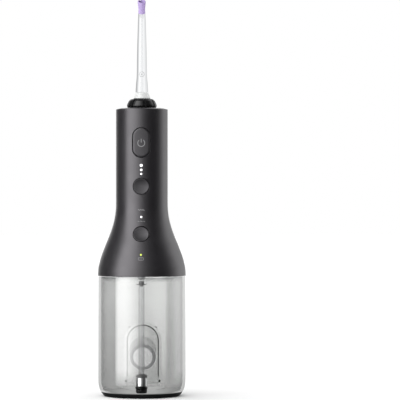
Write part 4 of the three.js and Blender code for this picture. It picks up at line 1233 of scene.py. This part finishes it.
def build_tank_seal():
    corner = 0.22
    points = [(28.65, 86.2), (29.9, 86.2), (30.25, 86.75), (29.85, 87.3), (30.25, 87.95),
              (29.9, 88.5), (28.65, 88.5)]
    profile = fillet([(*point, corner) for point in points], steps=4, closed=True)

    # the upper lip gets the darker seal tint, painted shade of the gap under the casing
    def upper_lip(centre, _normal):
        return math.hypot(centre.x, centre.y) > 30.0 and centre.z > 87.5
    piece(lathe("tank_lip_seal", profile, segments=160, closed=True), "handle", "seal_pale",
          "tank_seal", second=("seal_painted_shade", upper_lip))


def build_suction_port():
    """Upright tube through the handle's floor with a side branch towards +X."""
    profile = fillet([
        (0.9, 86.5), (1.9, 86.5, 0.2), (2.1, 87.2, 0.4), (2.75, 87.7, 0.4), (2.75, 89.2),
        (3.0, 89.5), (3.0, 92.3), (4.3, 92.3, 0.2), (4.3, 93.0, 0.2), (2.5, 93.1),
        (2.5, 96.6, 0.5), (0.9, 96.6)], steps=4)
    branch_z = 95.05
    port = lathe("suction_port_body", profile, segments=64, centre_y=HOSE_Y, closed=True)
    branch = rod("branch", (0.3, HOSE_Y, branch_z), (5.2, HOSE_Y, branch_z), 1.3, 32)
    boolean(port, branch, "UNION")
    boolean(port, rod("branch_bore", (0, HOSE_Y, branch_z), (8, HOSE_Y, branch_z), 0.7, 24))
    piece(port, "handle", "port_grey", "suction_port")


def connector_clip(side):
    """A springy clip that leaves the foot of the connector and curls up at its end."""
    rings = []
    for k in range(13):
        part = k / 12
        x = side * (1.85 + 1.95 * math.sin(part * 1.75) / math.sin(1.57))
        z = 83.3 - 0.55 * math.sin(part * math.pi * 0.8) + 1.75 * part ** 3
        thickness = 0.34 * (1 - 0.35 * part)
        rings.append([(x, HOSE_Y + 1.6 * across, z + up)
                      for across, up in circle_points(thickness, 20)])
    return loft("clip", rings)


def build_hose_connector():
    profile = fillet([(0.75, 81.6), (1.1, 81.6), (1.3, 81.8), (1.25, 82.45), (2.05, 82.5, 0.2),
                      (2.05, 85.45, 0.25), (1.2, 85.65, 0.1), (0.75, 85.65)], steps=4)
    name = "hose_connector_body"
    body = lathe(name, profile, segments=48, centre_y=HOSE_Y, closed=True)
    parts = [body, connector_clip(-1), connector_clip(1)]
    piece(merge(name, parts), "suction_hose", "inner_black", "hose_connector")


def build_hose():
    foot, top, outer, inner, rows = 15.0, 82.3, 2.25, 1.4, 70
    length = top - foot
    profile = [(outer - 0.1, foot), (outer, foot + 0.12)]
    profile += [(outer, foot + length * k / rows) for k in range(1, rows + 1)]
    profile += [(inner, top - length * k / rows) for k in range(rows + 1)]
    hose = lathe("suction_hose_tube", profile, segments=48, centre_y=HOSE_Y, closed=True)

    def in_bore(centre, _normal):
        return math.hypot(centre.x, centre.y - HOSE_Y) < 1.7
    piece(hose, "suction_hose", "hose_clear", "suction_hose", second=("hose_bore", in_bore))


def build_filter_cap():
    profile = fillet([(2.4, 14.6), (4.15, 14.6, 0.15), (4.4, 15.0, 0.2), (4.3, 15.5, 0.3),
                      (3.7, 16.1, 0.6), (3.0, 16.6, 0.5), (2.4, 16.8)], steps=4)
    cap = lathe("filter_cap_dome", profile, segments=72, centre_y=HOSE_Y, closed=True)
    piece(cap, "suction_hose", "filter_black", "filter_cap")


def build_filter_weight():
    profile = fillet([(1.5, 7.75), (4.0, 7.75, 0.08), (4.22, 7.95, 0.08), (4.22, 14.2, 0.08),
                      (4.0, 14.4, 0.08), (1.5, 14.4)], steps=3)
    sleeve = lathe("filter_weight_sleeve", profile, segments=96, centre_y=HOSE_Y, closed=True)
    piece(sleeve, "suction_hose", "weight_steel", "filter_weight")


def build_filter_base():
    """Cup with eight slits round its foot."""
    profile = fillet([(0, 3.9), (3.0, 3.9, 0.4), (3.0, 7.5), (4.5, 7.5, 0.25), (4.55, 6.3, 0.4),
                      (4.2, 5.6, 0.6), (4.15, 3.4, 0.4), (3.6, 2.7, 0.5), (0, 2.7)], steps=4)
    base = lathe("filter_base_cage", profile, segments=72, centre_y=HOSE_Y)
    slits = 8
    half_width, low, high = 0.28, 2.0, 3.35
    section = ((-1, low), (1, low), (1, high), (-1, high))
    centre = Vector((0, HOSE_Y, 0))
    for k in range(slits):
        turn = math.pi / slits + k * 2 * math.pi / slits
        out = Vector((math.cos(turn), math.sin(turn), 0))
        across = Vector((-out.y, out.x, 0))
        boolean(base, loft("slit", [
            [centre + out * radius + across * side * half_width + Vector((0, 0, z))
             for side, z in section] for radius in (1.5, 6)]))
    piece(base, "suction_hose", "filter_black", "filter_base")


build_bulkhead()
build_tank_seal()
build_suction_port()
build_hose_connector()
build_hose()
build_filter_cap()
build_filter_weight()
build_filter_base()

# ---------------------------------------------------------------------------
# knob
# ---------------------------------------------------------------------------

KNOB_FOOT = 214.3
LOBES, LOBE_STEPS = 8, 32
LOBE_PHASE = rad(-77.8)     # place of the first notch


def knob_ring(radius, z, depth=0.0):
    """A ring with narrow notches of the given depth between gently crowned lobes."""
    points = []
    for k in range(LOBES * LOBE_STEPS):
        # degrees from the nearest notch
        steps = abs(((k + LOBE_STEPS / 2) % LOBE_STEPS) - LOBE_STEPS / 2)
        away = steps * (360 / LOBES / LOBE_STEPS)
        part = min(1.0, max(0.0, (away - 2.4) / 3.4))
        notch = depth * (1 - part * part * (3 - 2 * part))
        crest = 0.10 * depth * math.cos(math.pi * away / 22.5)
        reach = radius - notch - crest * 0.4
        turn = LOBE_PHASE + 2 * math.pi * k / (LOBES * LOBE_STEPS)
        points.append((reach * math.cos(turn), reach * math.sin(turn), z))
    return points


def build_knob():
    corners = fillet([(9.7, KNOB_FOOT), (10.75, 214.35, 0.7), (11.3, 215.95, 2.2),
                      (9.75, 219.35, 3.0), (8.3, 220.65, 0.8), (7.0, 220.65)], steps=10)
    outside = []
    for (r0, z0), (r1, z1) in zip(corners, corners[1:]):
        count = max(1, int(math.hypot(r1 - r0, z1 - z0) / 0.3))
        outside += [(r0 + (r1 - r0) * k / count, z0 + (z1 - z0) * k / count)
                    for k in range(count)]
    outside.append(corners[-1])
    rings = [knob_ring(7.9, KNOB_FOOT)]
    for radius, z in outside:
        # the notches run out towards the top opening and at the foot
        inner = min(1.0, max(0.0, (radius - 7.3) / 0.9))
        low = min(1.0, max(0.0, (z - 214.2) / 0.5))
        rings.append(knob_ring(radius, z, 0.80 * inner * low))
    # top opening, bore and grooved stem: radius, z
    rings += [knob_ring(radius, z) for radius, z in (
        (6.95, 220.3), (6.9, 219.6), (4.9, 219.2), (4.85, 216.9), (3.95, 216.9), (3.95, 204.8),
        (6.7, 204.8), (7.0, 205.3), (7.0, 209.9), (6.0, 209.9), (6.0, 211.3), (7.0, 211.3),
        (7.0, KNOB_FOOT))]
    piece(loft("rotary_knob_crown", rings, closed=True), "knob", "knob_gloss", "rotary_knob",
          angle=40)


build_knob()

# ---------------------------------------------------------------------------
# nozzle: places along it are lengths of its centre line from its foot
# ---------------------------------------------------------------------------

NOZZLE_FOOT = 199.0
BEND, BEND_R, BEND_Z = rad(32), 12.0, 278.6
BEND_START = BEND_Z - NOZZLE_FOOT
BEND_END = BEND_START + BEND_R * BEND
SHAFT_END = BEND_END - 0.3
SIDEWAYS = Vector((1, 0, 0))

# the shaft's outside above its collar: z if it were straight, radius
shaft_r = pchip([
    (225.8, 4.68), (227.6, 4.61), (230.6, 4.41), (233.6, 4.18), (236.5, 3.90), (239.5, 3.78),
    (245.5, 3.70), (254.4, 3.58), (263.4, 3.36), (272.3, 3.08), (278.6, 2.92), (282.3, 2.74),
    (285.8, 2.60)])


def centre_line(length):
    """Point and direction: straight up, round the bend, then straight on."""
    if length <= BEND_START:
        return Vector((0, 0, NOZZLE_FOOT + length)), Vector((0, 0, 1))
    turn = min((length - BEND_START) / BEND_R, BEND)
    point = Vector((0, -BEND_R * (1 - math.cos(turn)), BEND_Z + BEND_R * math.sin(turn)))
    direction = Vector((0, -math.sin(turn), math.cos(turn)))
    if length > BEND_END:
        point = point + direction * (length - BEND_END)
    return point, direction


def sweep_ring(length, radius):
    point, direction = centre_line(length)
    other = direction.cross(SIDEWAYS)
    return [point + SIDEWAYS * x + other * y for x, y in circle_points(radius, 64)]


def shaft_rings():
    """Outside of the shaft, up to the stepped spigot that holds the tip."""
    # radius, z, corner
    low = fillet([(3.2, NOZZLE_FOOT), (3.6, 199.5, 0.2), (3.6, 217.2, 0.2), (4.5, 217.2, 0.2),
                  (4.5, 220.6, 0.2), (3.7, 220.75, 0.1), (3.7, 225.7), (4.68, 225.8)], steps=3)
    rings = [sweep_ring(z - NOZZLE_FOOT, radius) for radius, z in low]
    length = 226.2 - NOZZLE_FOOT
    while length < SHAFT_END:
        rings.append(sweep_ring(length, shaft_r(NOZZLE_FOOT + length)))
        length += 1.0 if length < BEND_START - 2 else 0.45
    # length past the shaft's end, radius
    spigot = ((0.0, 2.60), (0.12, 2.50), (0.14, 1.85), (2.0, 1.78), (4.1, 1.70), (4.25, 1.55))
    return rings + [sweep_ring(SHAFT_END + past, radius) for past, radius in spigot]


def bore_rings():
    """The bore from the spigot's end down to the foot, wider in its lower part."""
    narrow, wide = 0.62, 0.9
    rings = [sweep_ring(SHAFT_END + 4.25, narrow)]
    length = SHAFT_END + 4.0
    while length > 1.0:
        rings.append(sweep_ring(length, narrow if length > BEND_START - 30 else wide))
        length -= 0.7 if length > BEND_START - 2 else 6.0
    return rings + [sweep_ring(0, wide)]


def build_shaft():
    shaft = loft("nozzle_shaft_clear", shaft_rings() + bore_rings(), closed=True)
    axis = [centre_line(0.5 * k)[0] for k in range(int(2 * (SHAFT_END + 5)))]

    def in_bore(centre, _normal):
        nearest = min((centre - point).length for point in axis)
        return nearest < 1.15 and abs(centre.x) < 1.15
    piece(shaft, "nozzle", "nozzle_clear", "nozzle_shaft", angle=30,
          second=("nozzle_bore", in_bore))


def build_nozzle_mark():
    """A ring round a drop, moulded on the front of the shaft."""
    def on_shaft(x, z, lift):
        return (x, -math.sqrt(max(0.1, shaft_r(z) ** 2 - x * x)) - lift, z)

    over, under = 0.05, -0.06
    ring = [[on_shaft(x, 239.1 + z, lift) for x, z in circle_points(radius, 48)]
            for radius, lift in ((1.62, under), (1.62, over), (1.98, over), (1.98, under))]
    outline = []
    for k in range(24):
        turn = 2 * math.pi * k / 24
        x = 0.52 * math.sin(turn) * (0.62 + 0.38 * math.sin(turn / 2) ** 2)
        outline.append((x, 239.0 - 0.72 * math.cos(turn)))
    drop_shape = [[on_shaft(x, z, lift) for x, z in outline] for lift in (over, under)]
    mark = merge("nozzle_mark", [loft("ring", ring, closed=True), loft("drop", drop_shape)])
    piece(mark, "nozzle", "nozzle_clear", material="mark_grey")


def build_collar():
    profile = fillet([
        (3.95, 220.95), (6.35, 220.95, 0.2), (6.42, 221.3, 0.3), (6.2, 221.9, 0.6),
        (5.35, 224.2, 1.5), (4.9, 225.2, 0.6), (4.68, 225.55, 0.15), (3.95, 225.55)],
        steps=5, closed=True)
    piece(lathe("nozzle_collar_ring", profile, segments=96, closed=True), "nozzle",
          "collar_white", "nozzle_collar")


# the tip's outside: length past the bend, radius
tip_r = pchip([(0.0, 2.60), (0.5, 2.60), (1.8, 2.48), (3.6, 2.54), (6.0, 2.76), (8.4, 3.00),
               (9.4, 3.05)])
PETAL_TURN = rad(20)


def petal(turn):
    """0 in the notches between the four petals, 1 at their middles."""
    return abs(math.sin(2 * (turn - PETAL_TURN)))


def tip_ring(past, radius, depth=0.0, setback=0.0):
    """Ring past the bend's end; notches go depth inwards (a share) and setback down the tip."""
    point, direction = centre_line(BEND_END + past)
    other = direction.cross(SIDEWAYS)
    ring = []
    for k in range(96):
        turn = 2 * math.pi * k / 96
        reach = radius * (1 - depth * (1 - min(1.0, petal(turn) * 1.9)) ** 1.5)
        notch = (1 - min(1.0, petal(turn) * 2.2)) ** 1.3
        centre = point - direction * (setback * notch)
        ring.append(centre + SIDEWAYS * (reach * math.cos(turn)) + other * (reach * math.sin(turn)))
    return ring


def build_tip():
    """Soft tip: four rounded petals that flare from a neck."""
    rings = []
    stations = [0.06 + 0.3 * k for k in range(32)]
    for past in stations:
        part = max(0.0, min(1.0, (past - 4.0) / 5.2))
        rings.append(tip_ring(past, tip_r(past), 0.13 * part, 0.9 * part * part))
    last = stations[-1]
    for k, (inset, rise) in enumerate(quarter_round(5)):
        if k:
            rings.append(tip_ring(last + 0.30 * rise, tip_r(last) - 0.45 * inset,
                                  0.16, 0.95 + 0.25 * k / 5))
    # the mouth: length past the last station, radius
    mouth = ((0.22, 2.38), (-0.05, 2.2), (-0.7, 2.0), (-1.8, 1.75), (-3.0, 1.3), (-4.0, 1.0))
    for k, (past, radius) in enumerate(mouth):
        rings.append(tip_ring(last + past, radius, 0.22 * (1 - k / 6), 1.1 * (1 - k / 5)))
    # the socket over the spigot
    rings += [tip_ring(past, radius) for past, radius in (
        (4.25, 1.0), (4.25, 1.88), (0.0, 1.92), (-0.1, 2.3), (-0.1, 2.62))]
    start, direction = centre_line(BEND_END)
    other = direction.cross(SIDEWAYS)

    def in_mouth(centre, _normal):
        offset = centre - start
        along = offset.dot(direction)
        turn = math.atan2(offset.dot(other), offset.x)
        limit = 2.32 * (0.86 + 0.14 * min(1.0, petal(turn)))
        return along > 4.0 and (offset - direction * along).length < limit
    piece(loft("nozzle_soft_tip", rings, closed=True), "nozzle", "tip_purple", "nozzle_tip",
          angle=50, second=("tip_inner", in_mouth))


build_shaft()
build_nozzle_mark()
build_collar()
build_tip()

# ---------------------------------------------------------------------------
# carried-over pieces keep their shape and get their materials
# ---------------------------------------------------------------------------


def dress_kept_pieces():
    slots = {part["node"]: part["material_slot"] for part in frame["record"]["subparts"]}
    for node, obj in frame["nodes"].items():
        if obj.type != "MESH" or obj.hide_render:
            continue
        material = MATERIALS[slots[node]]
        if not obj.material_slots:
            obj.data.materials.append(material)
        for slot in obj.material_slots:
            slot.link = "OBJECT"
            slot.material = material


dress_kept_pieces()

# ---------------------------------------------------------------------------
# floor, light and camera, in metres
# ---------------------------------------------------------------------------


def build_floor():
    level = -0.0001
    mesh = bpy.data.meshes.new("floor")
    mesh.from_pydata([(-6, -4, level), (6, -4, level), (6, 8, level), (-6, 8, level)], [],
                     [(0, 1, 2, 3)])
    floor = link_mesh("floor", mesh)
    net = MaterialNet("floor_white")
    base = net.mix(net.drift(scale=12, detail=2, rough=0.5), (0.93, 0.93, 0.93), (0.95, 0.95, 0.95))
    mesh.materials.append(net.finish(net.add("BsdfDiffuse", Color=base)))
    floor.visible_glossy = False


def build_world():
    """White to the camera, even to diffuse rays, and the studio to everything else."""
    world = bpy.data.worlds.new("studio")
    scene.world = world
    world.use_nodes = True
    net = Net(world.node_tree)
    direction = net.node("TexCoord").outputs["Generated"]
    x = net.add("SeparateXYZ", direction)
    room = net.add("Group", direction, node_tree=ROOM)
    # diffuse light is a little stronger from the left
    slope, middle = -0.72, 1.22
    diffuse = net.math("MULTIPLY_ADD", x, slope, middle)
    path = net.node("LightPath").outputs
    light = net.mix(path["Is Diffuse Ray"], room, diffuse, "FLOAT")
    light = net.mix(path["Is Camera Ray"], light, 1.0, "FLOAT")
    net.node("OutputWorld", net.add("Background", Color=(1, 1, 1), Strength=light))
    world.cycles.sampling_method = "NONE"


def build_camera():
    camera = bpy.data.cameras.new("camera")
    camera.lens, camera.sensor_width = 210.6, 36.0
    camera.clip_start, camera.clip_end = 0.05, 50
    obj = link_mesh("camera", camera)
    obj.location = (0.0433, -1.743, 0.1456)
    obj.rotation_euler = (math.pi / 2, 0, 0)
    scene.camera = obj


build_floor()
build_world()
build_camera()
scene.view_settings.view_transform = "Standard"
scene.view_settings.look = "None"
scene.view_settings.exposure = 0.0
scene.cycles.transparent_max_bounces = 48
